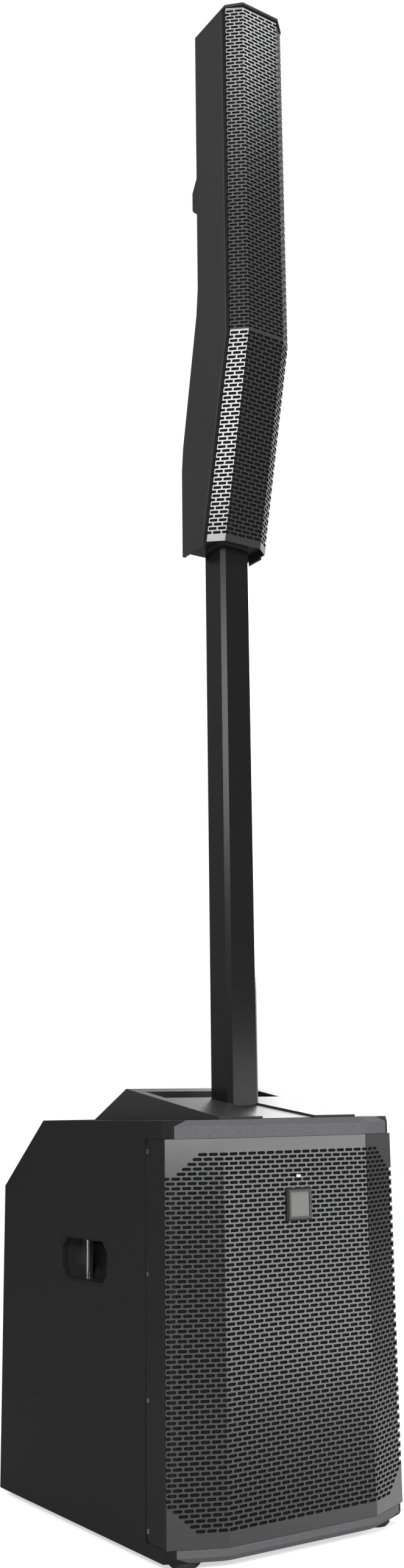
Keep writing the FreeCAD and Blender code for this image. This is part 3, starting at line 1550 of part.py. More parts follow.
def make_all():
    make_cabinet_shell()
    make_handle_cup("handle_cup_left", -1)
    make_handle_cup("handle_cup_right", 1)
    make_feet()
    make_bass_grille()
    make_bass_foam()
    make_badge()
    make_status_lamp()
    make_front_baffle()
    make_ports()
    make_brace()
    make_woofer()
    make_top_cap()
    make_pole_socket()
    make_contacts()
    make_control_panel()
    make_pots()
    make_knobs()
    make_connection_plate()
    make_line_sockets()
    make_mains_inlet()
    make_rocker()
    make_amplifier()
    make_pole()
    make_array_housing()
    make_array_grille()
    make_array_foam()
    make_array_baffles()
    make_array_drivers()
    make_bottom_plate()
    make_pole_spigot()
    make_rear_boss()


def check_parts():
    """Stops the build on a failed feature or an unsound shape."""
    doc.recompute()
    for made in doc.Objects:
        if "Invalid" in made.State or "Error" in made.State:
            raise RuntimeError(f"{made.Label} failed: {made.State}")
    for made in PARTS:
        if made.Shape.isNull() or not made.Shape.isValid() or made.Shape.Volume <= 0:
            raise RuntimeError(f"{made.Label} has no sound shape")


def write_parts():
    os.makedirs("parts", exist_ok=True)
    for made in PARTS:
        made.Shape.exportStep(f"parts/{made.Label}.step")
        box = made.Shape.BoundBox
        print(f"{made.Label}: {len(made.Shape.Solids)} solids, {made.Shape.Volume / 1000:.1f} cm3, "
              f"x {box.XMin:.1f}..{box.XMax:.1f} y {box.YMin:.1f}..{box.YMax:.1f} "
              f"z {box.ZMin:.1f}..{box.ZMax:.1f}")


make_all()
check_parts()
write_parts()
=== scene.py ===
import json
import logging
import math
from dataclasses import dataclass
from enum import Enum
from typing import Callable, Iterable

import bpy
from mathutils import Matrix, Vector


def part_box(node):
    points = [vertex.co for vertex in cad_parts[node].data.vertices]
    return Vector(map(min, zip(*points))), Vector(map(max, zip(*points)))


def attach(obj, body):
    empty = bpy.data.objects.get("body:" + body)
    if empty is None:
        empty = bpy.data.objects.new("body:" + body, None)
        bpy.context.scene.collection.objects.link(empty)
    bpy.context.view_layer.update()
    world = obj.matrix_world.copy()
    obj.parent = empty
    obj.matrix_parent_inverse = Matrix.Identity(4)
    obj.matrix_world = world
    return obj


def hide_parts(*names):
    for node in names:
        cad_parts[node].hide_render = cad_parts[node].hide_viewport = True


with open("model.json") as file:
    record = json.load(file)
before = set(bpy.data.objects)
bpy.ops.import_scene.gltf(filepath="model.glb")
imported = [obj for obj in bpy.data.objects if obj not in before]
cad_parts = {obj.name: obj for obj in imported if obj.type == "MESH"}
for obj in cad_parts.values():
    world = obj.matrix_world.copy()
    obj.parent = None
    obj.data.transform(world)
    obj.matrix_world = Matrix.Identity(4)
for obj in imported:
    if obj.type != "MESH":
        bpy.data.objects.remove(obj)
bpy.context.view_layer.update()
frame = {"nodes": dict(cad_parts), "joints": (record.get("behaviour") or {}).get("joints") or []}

log = logging.getLogger("column_loudspeaker")

MM = 0.001
TOLERANCE = 1e-6
FINE_TOLERANCE = 1e-7
WHITE = (1.0, 1.0, 1.0)
BLACK = (0.0, 0.0, 0.0)
MIX_FACTOR, MIX_LOW, MIX_HIGH, MIX_COLOUR = 0, 6, 7, 2
Point = tuple[float, float]
Colour = tuple[float, float, float]
Piece = bpy.types.Object
Material = bpy.types.Material


class Sock:
    """A shader socket that takes part in ordinary arithmetic."""

    def __init__(self, tree: bpy.types.NodeTree, socket: bpy.types.NodeSocket) -> None:
        """Wraps one output socket of a tree."""
        self.tree = tree
        self.socket = socket

    def math(self, operation: str, *values: "Sock | float") -> "Sock":
        """Adds a Math node.

        Args:
            operation: The node's operation.
            values: Its inputs, in order.

        Returns:
            The node's result.
        """
        node = self.tree.nodes.new("ShaderNodeMath")
        node.operation = operation
        for place, value in zip(node.inputs, values):
            if isinstance(value, Sock):
                self.tree.links.new(value.socket, place)
            else:
                place.default_value = value
        return Sock(self.tree, node.outputs[0])

    def __add__(self, other: "Sock | float") -> "Sock":
        """Adds a value."""
        return self.math("ADD", self, other)

    __radd__ = __add__

    def __sub__(self, other: "Sock | float") -> "Sock":
        """Takes a value away."""
        return self.math("SUBTRACT", self, other)

    def __rsub__(self, other: float) -> "Sock":
        """Is taken away from a number."""
        return self.math("SUBTRACT", other, self)

    def __mul__(self, other: "Sock | float") -> "Sock":
        """Multiplies by a value."""
        return self.math("MULTIPLY", self, other)

    __rmul__ = __mul__

    def __abs__(self) -> "Sock":
        """Drops the sign."""
        return self.math("ABSOLUTE", self)

    def below(self, limit: float) -> "Sock":
        """Is one where the value is below a limit, and nothing elsewhere."""
        return self.math("LESS_THAN", self, limit)


class Paint:
    """Builds one material: a Principled shader and the nodes that feed it."""

    def __init__(self, name: str) -> None:
        """Starts a material with nothing but its shader.

        Args:
            name: The material's name.
        """
        self.material = bpy.data.materials.new(name)
        self.material.use_nodes = True
        self.tree = self.material.node_tree
        self.tree.nodes.clear()
        self.output = self.tree.nodes.new("ShaderNodeOutputMaterial")
        self.shader = self.tree.nodes.new("ShaderNodeBsdfPrincipled")
        self.tree.links.new(self.shader.outputs[0], self.output.inputs["Surface"])

    def add(self, kind: str, settings: dict[str, object], inputs: dict[str | int, object],
            output: int | str = 0) -> Sock:
        """Adds a node.

        Args:
            kind: The node's type.
            settings: Its own properties, which are set first.
            inputs: Values or links for its sockets, by name or number.
            output: Which output to hand back.

        Returns:
            That output.
        """
        node = self.tree.nodes.new(kind)
        for name, value in settings.items():
            setattr(node, name, value)
        self.feed(node, inputs)
        return Sock(self.tree, node.outputs[output])

    def feed(self, node: bpy.types.Node, inputs: dict[str | int, object]) -> None:
        """Sets or links the sockets of a node.

        Args:
            node: The node.
            inputs: Values or links, by the socket's name or number.
        """
        for name, value in inputs.items():
            if isinstance(value, Sock):
                self.tree.links.new(value.socket, node.inputs[name])
            else:
                node.inputs[name].default_value = value

    def place(self) -> Sock:
        """Gives the object's own coordinates."""
        return self.add("ShaderNodeTexCoord", {}, {}, "Object")

    def axis(self, name: str) -> Sock:
        """Gives one of the object's own coordinates, X, Y or Z."""
        return self.add("ShaderNodeSeparateXYZ", {}, {"Vector": self.place()}, name)

    def within(self, middle: Point, half: Point) -> Sock:
        """Gives one inside a rectangle of the front, and nothing outside it.

        Args:
            middle: The X and Z of its middle.
            half: Half its width and half its height.

        Returns:
            The mask.
        """
        across = abs(self.axis("X") - middle[0]).below(half[0])
        return across * abs(self.axis("Z") - middle[1]).below(half[1])

    def stretched(self, scale: tuple[float, float, float]) -> Sock:
        """Gives coordinates that run at their own rate along each axis."""
        return self.add("ShaderNodeMapping", {}, {"Vector": self.place(), "Scale": scale})

    def noise(self, scale: float, detail: float = 2.0, where: Sock | None = None) -> Sock:
        """Gives a soft random value.

        Args:
            scale: Blotches in a metre.
            detail: Finer layers on top.
            where: Coordinates, or the object's own.

        Returns:
            A value from 0 to 1.
        """
        inputs = {"Vector": where or self.place(), "Scale": scale, "Detail": detail}
        return self.add("ShaderNodeTexNoise", {}, inputs, "Fac")

    def cells(self, scale: float) -> Sock:
        """Gives the distance to the nearest of many scattered points."""
        return self.add("ShaderNodeTexVoronoi", {}, {"Vector": self.place(), "Scale": scale}, "Distance")

    def blend(self, factor: Sock, low: Colour | Sock, high: Colour | Sock) -> Sock:
        """Gives a colour between two, by a factor.

        Args:
            factor: The share of the second colour.
            low: The first colour, or a link to it.
            high: The second colour, or a link to it.

        Returns:
            The mixed colour.
        """
        first, second = (end if isinstance(end, Sock) else (*end, 1.0) for end in (low, high))
        return self.add("ShaderNodeMix", {"data_type": "RGBA"},
                        {MIX_FACTOR: factor, MIX_LOW: first, MIX_HIGH: second}, MIX_COLOUR)

    def bump(self, height: Sock, depth: float) -> Sock:
        """Gives a normal that is raised by a height, over a depth in metres."""
        return self.add("ShaderNodeBump", {}, {"Height": height, "Distance": depth, "Strength": 1.0})

    def done(self, **inputs: object) -> Material:
        """Sets the shader's sockets, named with underscores, and gives the material."""
        self.feed(self.shader, {name.replace("_", " "): value for name, value in inputs.items()})
        return self.material


class Grain(Enum):
    """How a surface is broken up."""

    SOFT = "soft"
    LEATHER = "leather"
    CELLS = "cells"
    BRUSHED = "brushed"


GLOSS_SWING = 0.08
BRUSH_STRETCH = 12.0
BRUSH_DETAIL = 3.0
LEATHER_FOLD = 0.7
LEATHER_PORE = 0.5
LEATHER_PORE_COUNT = 0.8
MOTTLE_COUNT = 6.0
MOTTLE_DETAIL = 3.0


def shades(colour: Colour, share: float) -> tuple[Colour, Colour]:
    """Gives a darker and a paler shade of a colour, each this share away from it."""
    return (tuple(part * (1.0 - share) for part in colour),
            tuple(min(1.0, part * (1.0 + share)) for part in colour))


@dataclass(frozen=True)
class Finish:
    """One finish: its colour, gloss and the grain of its surface."""

    name: str
    colour: Colour
    roughness: float
    metallic: float = 0.0
    grain: Grain = Grain.SOFT
    grain_count: float = 300.0
    grain_depth: float = 0.00004
    mottle: float = 0.12
    ior: float = 1.5

    def height(self, paint: Paint) -> Sock:
        """Gives the relief of this grain.

        Args:
            paint: The material that the relief is for.

        Returns:
            The height, about 0 to 1.
        """
        if self.grain is Grain.CELLS:
            return paint.cells(self.grain_count)
        if self.grain is Grain.BRUSHED:
            along = paint.stretched((1.0, BRUSH_STRETCH, BRUSH_STRETCH))
            return paint.noise(self.grain_count, BRUSH_DETAIL, along)
        if self.grain is Grain.LEATHER:
            pores = paint.cells(self.grain_count * LEATHER_PORE_COUNT)
            return paint.noise(self.grain_count, 1.0) * LEATHER_FOLD + pores * LEATHER_PORE
        return paint.noise(self.grain_count)

    def gloss(self, relief: Sock) -> Sock:
        """Gives a roughness that swings about its middle with the relief."""
        return relief * GLOSS_SWING + (self.roughness - GLOSS_SWING / 2)

    def material(self) -> Material:
        """Builds the finish's material.

        Returns:
            The material.
        """
        paint = Paint(self.name)
        relief = self.height(paint)
        broad = paint.noise(MOTTLE_COUNT, MOTTLE_DETAIL)
        return paint.done(
            Base_Color=paint.blend(broad, *shades(self.colour, self.mottle)),
            Roughness=self.gloss(relief),
            Metallic=self.metallic,
            IOR=self.ior,
            Normal=paint.bump(relief, self.grain_depth),
        )


@dataclass(frozen=True)
class SheenFrontedFinish(Finish):
    """A finish whose front, past the cut corners, is coarser and paler; the paleness is a painted sheen
    for the light that the front catches.
    """

    front_edge: float = -197.4 * MM
    # Painted sheen: the front's paler colour stands in for the light it catches.
    front_sheen_colour: Colour = (0.032, 0.032, 0.033)
    front_contrast: float = 0.4
    front_count: float = 420.0
    speckle_count: float = 840.0

    def material(self) -> Material:
        """Builds the material, split where the cut corners start; the front gets the painted sheen.

        Returns:
            The material.
        """
        paint = Paint(self.name)
        front = paint.axis("Y").below(self.front_edge)
        relief = self.height(paint) * (1 - front) + paint.noise(self.front_count) * front
        speckle = paint.noise(self.speckle_count, 1.0)
        # Painted sheen: the front is paler to stand in for the light it catches; its speckle is the
        # coarser texture.
        pale = paint.blend(speckle, *shades(self.front_sheen_colour, self.front_contrast))
        return paint.done(
            Base_Color=paint.blend(front, self.colour, pale),
            Roughness=self.gloss(relief),
            IOR=self.ior,
            Normal=paint.bump(relief, self.grain_depth),
        )


@dataclass(frozen=True)
class BadgeFinish:
    """A brushed grey field inside a darker bevelled rim."""

    name: str
    middle: Point
    half_field: Point
    field_colour: Colour = (0.04, 0.041, 0.038)
    rim_colour: Colour = (0.007, 0.007, 0.0072)
    rim_roughness: float = 0.22
    field_dulling: float = 0.15
    ior: float = 1.16
    brush_count: float = 400.0
    brush_stretch: float = 14.0
    brush_depth: float = 0.00002

    def material(self) -> Material:
        """Builds the badge's material, split at the rim's inner edge.

        Returns:
            The material.
        """
        paint = Paint(self.name)
        inside = paint.within(self.middle, self.half_field)
        along = paint.stretched((1.0, 1.0, self.brush_stretch))
        brushed = paint.noise(self.brush_count, BRUSH_DETAIL, along)
        return paint.done(
            Base_Color=paint.blend(inside, self.rim_colour, self.field_colour),
            Roughness=inside * self.field_dulling + brushed * GLOSS_SWING + self.rim_roughness,
            IOR=self.ior,
            Normal=paint.bump(brushed, self.brush_depth),
        )


@dataclass(frozen=True)
class LampFinish:
    """A dark lens with a small lit spot in its middle."""

    name: str
    middle: Point
    half_spot: Point
    body_colour: Colour = (0.008, 0.008, 0.008)
    spot_colour: Colour = (0.8, 0.84, 0.88)
    glow: Colour = (0.85, 0.92, 1.0)
    glow_strength: float = 0.6
    roughness: float = 0.15
    roughness_swing: float = 0.1
    haze_count: float = 900.0

    def material(self) -> Material:
        """Builds the lens's material.

        Returns:
            The material.
        """
        paint = Paint(self.name)
        lit = paint.within(self.middle, self.half_spot)
        return paint.done(
            Base_Color=paint.blend(lit, self.body_colour, self.spot_colour),
            Roughness=paint.noise(self.haze_count) * self.roughness_swing + self.roughness,
            Emission_Color=paint.blend(lit, BLACK, self.glow),
            Emission_Strength=self.glow_strength,
        )


# Black cabinet paint, with a painted sheen on its front band.
CABINET_PAINT_AND_SHEEN = SheenFrontedFinish("cabinet_paint", (0.005, 0.005, 0.0052), 0.55, grain=Grain.LEATHER,
                              grain_count=620.0, grain_depth=0.00022, ior=1.06)
MOULDED_BLACK = Finish("moulded_black", (0.009, 0.009, 0.0094), 0.5, grain=Grain.LEATHER,
                       grain_count=700.0, grain_depth=0.0002, ior=1.1)
GRILLE_PAINT = Finish("grille_paint", (0.011, 0.011, 0.0114), 0.22, grain_count=1500.0,
                      grain_depth=0.000003, ior=1.24)
# Painted shade: a darker, duller paint for the grilles' side flanges, standing in for the shadow on them.
FLANGE_SHADE_PAINT = Finish("flange_painted_shade", (0.005, 0.005, 0.0052), 0.45, grain_count=1500.0,
                      grain_depth=0.00001, ior=1.06)
FOAM = Finish("acoustic_foam", (0.004, 0.004, 0.0042), 0.95, grain=Grain.CELLS, grain_count=700.0,
              grain_depth=0.0006, ior=1.05)
CAP_PLASTIC = Finish("cap_plastic", (0.009, 0.009, 0.0094), 0.4, grain_count=1200.0,
                     grain_depth=0.00002, ior=1.13)
SMOOTH_PLASTIC = Finish("socket_plastic", (0.012, 0.012, 0.0125), 0.3, grain_depth=0.00001, ior=1.25)
CUP_PLASTIC = Finish("cup_plastic", (0.008, 0.008, 0.0085), 0.16, grain_depth=0.00001)
RUBBER = Finish("black_rubber", (0.01, 0.01, 0.01), 0.8, grain=Grain.CELLS, grain_count=900.0,
                grain_depth=0.0001, ior=1.15)
POLE_METAL = Finish("pole_metal", (0.003, 0.003, 0.0032), 0.22, grain=Grain.BRUSHED,
                    grain_count=60.0, grain_depth=0.00001, ior=1.13)
PANEL_PAINT = Finish("panel_paint", (0.016, 0.016, 0.017), 0.42, grain_count=1600.0,
                     grain_depth=0.00003, ior=1.25)
KNOB_PLASTIC = Finish("knob_plastic", (0.012, 0.012, 0.012), 0.5, grain_count=1800.0,
                      grain_depth=0.00003, ior=1.3)
MARK_PAINT = Finish("mark_paint", (0.62, 0.62, 0.62), 0.5, grain_depth=0.00001)
FOLDED_STEEL = Finish("folded_steel", (0.52, 0.52, 0.54), 0.38, metallic=1.0, grain=Grain.BRUSHED,
                      grain_count=30.0, grain_depth=0.00001)
DRIVER_STEEL = Finish("driver_steel", (0.02, 0.02, 0.021), 0.45, metallic=0.5)
MAGNET_IRON = Finish("magnet_iron", (0.1, 0.1, 0.105), 0.6, metallic=0.6)
PAPER = Finish("cone_paper", (0.016, 0.016, 0.017), 0.75, grain=Grain.LEATHER, grain_count=500.0,
               grain_depth=0.0002, ior=1.2)
ROLL_RUBBER = Finish("roll_rubber", (0.01, 0.01, 0.01), 0.6, ior=1.25)
PLYWOOD = Finish("plain_board", (0.5, 0.36, 0.2), 0.6, grain=Grain.BRUSHED, grain_count=12.0,
                 grain_depth=0.00006)
BAFFLE_PAINT = Finish("baffle_board", (0.008, 0.008, 0.008), 0.7, ior=1.15)
BRASS = Finish("contact_brass", (0.75, 0.55, 0.24), 0.25, metallic=1.0)
GLASS = Finish("panel_glass", (0.008, 0.009, 0.011), 0.08, grain_depth=0.000002, ior=1.45)
BOARD_GREEN = Finish("board_green", (0.02, 0.13, 0.06), 0.35)
SINK_METAL = Finish("sink_metal", (0.03, 0.03, 0.032), 0.45, metallic=0.6, grain=Grain.BRUSHED,
                    grain_count=30.0, grain_depth=0.00001)
CABLE = Finish("cable_sheath", (0.02, 0.02, 0.02), 0.6)
SCREW_STEEL = Finish("screw_steel", (0.03, 0.03, 0.032), 0.35, metallic=0.7)

NODE_FINISHES: dict[Finish, tuple[str, ...]] = {
    CABINET_PAINT_AND_SHEEN: ("cabinet_shell",),
    MOULDED_BLACK: ("array_housing", "rear_boss", "pole_socket", "array_bottom_plate", "pole_spigot"),
    CUP_PLASTIC: ("handle_cup_left", "handle_cup_right"),
    GRILLE_PAINT: ("bass_grille", "array_grille"),
    FOAM: ("bass_grille_foam", "array_grille_foam", "woofer_spider"),
    CAP_PLASTIC: ("top_cap",),
    RUBBER: ("rubber_feet",),
    BAFFLE_PAINT: ("front_baffle",),
    SMOOTH_PLASTIC: ("port_tubes", "input_sockets", "link_socket", "mains_inlet", "switch_frame",
                     "pole_foot_plug", "pole_head_plug", "array_baffle_upper", "array_baffle_lower"),
    PLYWOOD: ("cabinet_brace",),
    DRIVER_STEEL: ("woofer_basket", "array_driver_frames"),
    MAGNET_IRON: ("woofer_magnet", "array_driver_magnets"),
    FOLDED_STEEL: ("woofer_pole_piece", "control_bodies", "menu_shaft", "amplifier_chassis"),
    PAPER: ("woofer_cone", "array_cones_upper", "array_cones_lower"),
    ROLL_RUBBER: ("woofer_surround", "array_surrounds_upper", "array_surrounds_lower"),
    POLE_METAL: ("pole_tube",),
    BRASS: ("socket_contacts", "array_contacts"),
    PANEL_PAINT: ("control_panel", "connection_plate"),
    GLASS: ("display_window",),
    KNOB_PLASTIC: ("level_knob_1", "level_knob_2", "level_knob_3", "level_knob_4", "menu_wheel",
                   "power_rocker"),
    BOARD_GREEN: ("circuit_board",),
    SINK_METAL: ("heat_sink",),
    CABLE: ("pole_cable",),
}


AnyFinish = Finish | BadgeFinish | LampFinish


class Look:
    """Keeps one material for each finish and gives it to pieces."""

    sideways: float = 0.9

    def __init__(self) -> None:
        """Starts with no material made."""
        self.made: dict[AnyFinish, Material] = {}

    def wear(self, piece: Piece, finish: AnyFinish) -> None:
        """Dresses a piece in a finish."""
        piece.data.materials.clear()
        self.add(piece, finish)

    def add(self, piece: Piece, finish: AnyFinish) -> None:
        """Gives a piece one more finish, for some of its faces.

        Args:
            piece: The piece.
            finish: The finish, whose material is made at its first use.
        """
        if finish not in self.made:
            self.made[finish] = finish.material()
        piece.data.materials.append(self.made[finish])

    def paint_flange_shade(self, piece: Piece, finish: Finish, corner: float) -> None:
        """Gives a grille's side flanges another, darker finish: painted shade for the shadow on them.

        Args:
            piece: The grille.
            finish: The flanges' finish, a painted shade.
            corner: The Y at which the flanges start.
        """
        self.add(piece, finish)
        # The side-facing flange faces get the painted shade.
        for face in piece.data.polygons:
            if abs(face.normal.x) > self.sideways and face.center.y > corner:
                face.material_index = 1


class Bench:
    """The hand tools that every sub-assembly shares."""

    @staticmethod
    def clear_selection() -> None:
        """Selects nothing, so that an operator acts on its own piece only."""
        if bpy.context.object and bpy.context.object.mode == "EDIT":
            Bench.leave()
        bpy.ops.object.select_all(action="DESELECT")

    @staticmethod
    def leave() -> None:
        """Leaves edit mode."""
        bpy.ops.object.mode_set(mode="OBJECT")

    @staticmethod
    def named(name: str) -> Piece:
        """Names the piece that was added last, and its mesh.

        Args:
            name: The name.

        Returns:
            The piece.
        """
        piece = bpy.context.object
        piece.name = name
        piece.data.name = name
        return piece

    @staticmethod
    def hold(piece: Piece) -> None:
        """Selects one piece alone and makes it the active one.

        Args:
            piece: The piece.
        """
        Bench.clear_selection()
        piece.select_set(True)
        bpy.context.view_layer.objects.active = piece

    @staticmethod
    def pick_faces(piece: Piece, test: Callable[[Vector], bool]) -> None:
        """Selects the faces whose middles pass a test, and stays in edit mode."""
        Bench.pick(piece, "FACE", lambda mesh: mesh.polygons, lambda face: test(face.center))

    @staticmethod
    def pick(piece: Piece, kind: str, items: Callable, test: Callable) -> None:
        """Selects mesh items that pass a test, and stays in edit mode.

        Args:
            piece: The object to work on.
            kind: The selection mode, VERT, EDGE or FACE.
            items: Gives the items from the mesh.
            test: Says which of them to select.
        """
        Bench.hold(piece)
        bpy.ops.object.mode_set(mode="EDIT")
        bpy.ops.mesh.select_mode(type=kind)
        bpy.ops.mesh.select_all(action="DESELECT")
        Bench.leave()
        for item in items(piece.data):
            item.select = test(item)
        bpy.ops.object.mode_set(mode="EDIT")

    @staticmethod
    def apply_place(piece: Piece) -> None:
        """Puts the piece's place into its mesh."""
        Bench.hold(piece)
        bpy.ops.object.transform_apply(location=True, rotation=True, scale=True)

    @staticmethod
    def join(pieces: list[Piece], name: str) -> Piece:
        """Makes several pieces one object.

        Args:
            pieces: The pieces.
            name: The object's name.

        Returns:
            The object.
        """
        Bench.clear_selection()
        for piece in pieces:
            piece.select_set(True)
        bpy.context.view_layer.objects.active = pieces[0]
        bpy.ops.object.join()
        return Bench.named(name)

    @staticmethod
    def modify(piece: Piece, kind: str, **settings: object) -> None:
        """Adds a modifier and applies it.

        Args:
            piece: The piece.
            kind: The modifier's type.
            settings: Its properties.
        """
        Bench.hold(piece)
        modifier = piece.modifiers.new(kind.lower(), kind)
        for name, value in settings.items():
            setattr(modifier, name, value)
        bpy.ops.object.modifier_apply(modifier=modifier.name)

    @staticmethod
    def put_copies(piece: Piece, places: Iterable[Matrix], name: str) -> Piece:
        """Copies a piece to several places, as one object.

        Args:
            piece: The piece, modelled at the origin. It is used up.
            places: Where each copy goes.
            name: The joined object's name.

        Returns:
            The joined object.
        """
        copies = []
        for place in places:
            twin = piece.copy()
            twin.data = piece.data.copy()
            bpy.context.scene.collection.objects.link(twin)
            twin.data.transform(place)
            copies.append(twin)
        bpy.data.objects.remove(piece)
        return Bench.join(copies, name)

    @staticmethod
    def face_outwards(piece: Piece) -> None:
        """Turns all faces outwards.

        Args:
            piece: The piece.
        """
        Bench.hold(piece)
        bpy.ops.object.mode_set(mode="EDIT")
        bpy.ops.mesh.select_all(action="SELECT")
        bpy.ops.mesh.normals_make_consistent(inside=False)
        Bench.leave()


@dataclass
class SlottedSheet:
    """A flat sheet with staggered rows of slots that is then folded along its columns.

    A column is half a slot's pitch wide, so a slot may lie across a fold.
    """

    name: str
    column_edges: list[float]
    row_edges: list[float]
    slotted: Callable[[int, int], bool]
    first_slot_column: int
    first_slot_row: int
    web: float = 0.9 * MM
    corner: float = 1.15 * MM
    corner_steps: int = 2
    nudge: float = 1e-5
    merged_corners: int = 6

    def build(self) -> Piece:
        """Makes the flat sheet in the plane of X and Y, with its slots open.

        Returns:
            The sheet.
        """
        columns = len(self.column_edges) - 1
        rows = len(self.row_edges) - 1
        Bench.clear_selection()
        bpy.ops.mesh.primitive_grid_add(x_subdivisions=columns, y_subdivisions=rows, size=1.0)
        piece = Bench.named(self.name)
        self.spread(piece, columns, rows)
        self.merge_halves(piece)
        self.open_slots(piece)
        return piece

    def spread(self, piece: Piece, columns: int, rows: int) -> None:
        """Moves the grid's lines to the sheet's column and row edges.

        Args:
            piece: The grid, one metre wide and high.
            columns: How many columns it has.
            rows: How many rows it has.
        """
        for point in piece.data.vertices:
            column = round((point.co.x + 0.5) * columns)
            row = round((point.co.y + 0.5) * rows)
            point.co = (self.column_edges[column], self.row_edges[row], 0.0)

    def cell(self, place: Vector) -> tuple[int, int]:
        """Finds a place on the flat sheet.

        Args:
            place: The place.

        Returns:
            The column and the row that it falls in.
        """
        column = sum(1 for edge in self.column_edges if edge <= place.x) - 1
        row = sum(1 for edge in self.row_edges if edge <= place.y) - 1
        return column, row

    def starts_slot(self, column: int, row: int) -> bool:
        """Tells whether a slot starts in this column of this row."""
        staggered = (column - self.first_slot_column + row - self.first_slot_row) % 2 == 0
        return staggered and self.slotted(column, row) and self.slotted(column + 1, row)

    def merge_halves(self, piece: Piece) -> None:
        """Takes out the line between each slot's two halves.

        Args:
            piece: The flat sheet.
        """
        points = piece.data.vertices

        def in_a_slot(edge: bpy.types.MeshEdge) -> bool:
            """Tells whether an edge parts a slot's two halves.

            Args:
                edge: The edge.

            Returns:
                True if it does.
            """
            first, second = (points[number].co for number in edge.vertices)
            if abs(first.x - second.x) > TOLERANCE:
                return False
            column, row = self.cell((first + second) / 2 + Vector((self.nudge, 0, 0)))
            return self.starts_slot(column - 1, row)

        Bench.pick(piece, "EDGE", lambda mesh: mesh.edges, in_a_slot)
        bpy.ops.mesh.dissolve_edges(use_verts=False, use_face_split=False)
        Bench.leave()

    def open_slots(self, piece: Piece) -> None:
        """Insets each merged face, takes it out and rounds its corners.

        Args:
            piece: The flat sheet.
        """
        pitch = min(b - a for a, b in zip(self.column_edges, self.column_edges[1:]))

        def is_slot(face: bpy.types.MeshPolygon) -> bool:
            """Tells whether a face is a slot's two merged halves.

            Args:
                face: The face.

            Returns:
                True if it is.
            """
            if len(face.vertices) < self.merged_corners:
                return False
            column, row = self.cell(face.center - Vector((pitch / 4, 0, 0)))
            return self.starts_slot(column, row)

        Bench.pick(piece, "FACE", lambda mesh: mesh.polygons, is_slot)
        bpy.ops.mesh.inset(thickness=self.web, use_individual=True)
        bpy.ops.mesh.delete(type="FACE")
        Bench.leave()
        self.round_corners(piece)

    def mark(self, place: float) -> int:
        """Gives a place in whole hundredths of a web, so that equal places match."""
        return round(place / self.web * 100)

    def round_corners(self, piece: Piece) -> None:
        """Rounds the slots' corners, the only points on no column or row line.

        Args:
            piece: The flat sheet.
        """
        columns = {self.mark(edge) for edge in self.column_edges}
        rows = {self.mark(edge) for edge in self.row_edges}

        def is_corner(point: bpy.types.MeshVertex) -> bool:
            """Tells whether a point is a slot's corner."""
            return self.mark(point.co.x) not in columns and self.mark(point.co.y) not in rows

        Bench.pick(piece, "VERT", lambda mesh: mesh.vertices, is_corner)
        bpy.ops.mesh.bevel(affect="VERTICES", offset=self.corner, segments=self.corner_steps)
        Bench.leave()


def along_outline(outline: list[Point], travel: float) -> Point:
    """Finds a place on an open outline of straight sides.

    Args:
        outline: Its corners, with travel 0 at the middle of its whole length.
        travel: The distance along it from the middle.

    Returns:
        The place.
    """
    sides = list(zip(outline, outline[1:]))
    lengths = [math.dist(a, b) for a, b in sides]
    left = travel + sum(lengths) / 2
    for (a, b), length in zip(sides, lengths):
        if left <= length + FINE_TOLERANCE or b == outline[-1]:
            share = left / length
            return (a[0] + (b[0] - a[0]) * share, a[1] + (b[1] - a[1]) * share)
        left -= length
    raise ValueError("the outline has no sides")


def even_edges(low: float, high: float, count: int) -> list[float]:
    """Gives the inner edges of evenly spaced cells, with the last edge and without the first."""
    return [low + (high - low) * (number + 1) / count for number in range(count)]


@dataclass(frozen=True)
class Lamp:
    """One soft lamp: where it hangs, what it points at, its width and height, and its power."""

    name: str
    place: tuple[float, float, float]
    target: tuple[float, float, float]
    size: tuple[float, float]
    power: float


STUDIO_LAMPS = (
    Lamp("lamp_knee", (-2.05, -1.95, 1.72), (-0.05, -0.13, 1.4), (0.8, 0.8), 185.0),
    Lamp("lamp_top_front", (-0.18, -1.5, 3.4), (0.0, -0.15, 1.95), (2.6, 0.5), 160.0),
    Lamp("lamp_edge", (-1.65, -1.15, 2.65), (-0.05, -0.13, 1.6), (0.4, 0.9), 17.0),
    Lamp("lamp_low_left", (-0.76, -2.35, 0.55), (-0.14, -0.2, 0.44), (0.5, 0.26), 22.0),
    Lamp("lamp_side", (-2.3, -0.3, 0.4), (-0.17, 0.05, 0.3), (0.5, 0.7), 30.0),
    Lamp("lamp_low_right", (0.55, -0.98, 0.3), (0.0, -0.22, 0.25), (0.75, 0.58), 20.0),
    Lamp("lamp_strip", (1.85, 1.45, 1.7), (0.0, -0.1, 1.0), (1.2, 1.7), 60.0),
    Lamp("lamp_above", (0.6, 1.0, 3.4), (0.0, 0.0, 0.5), (1.2, 1.2), 25.0),
)


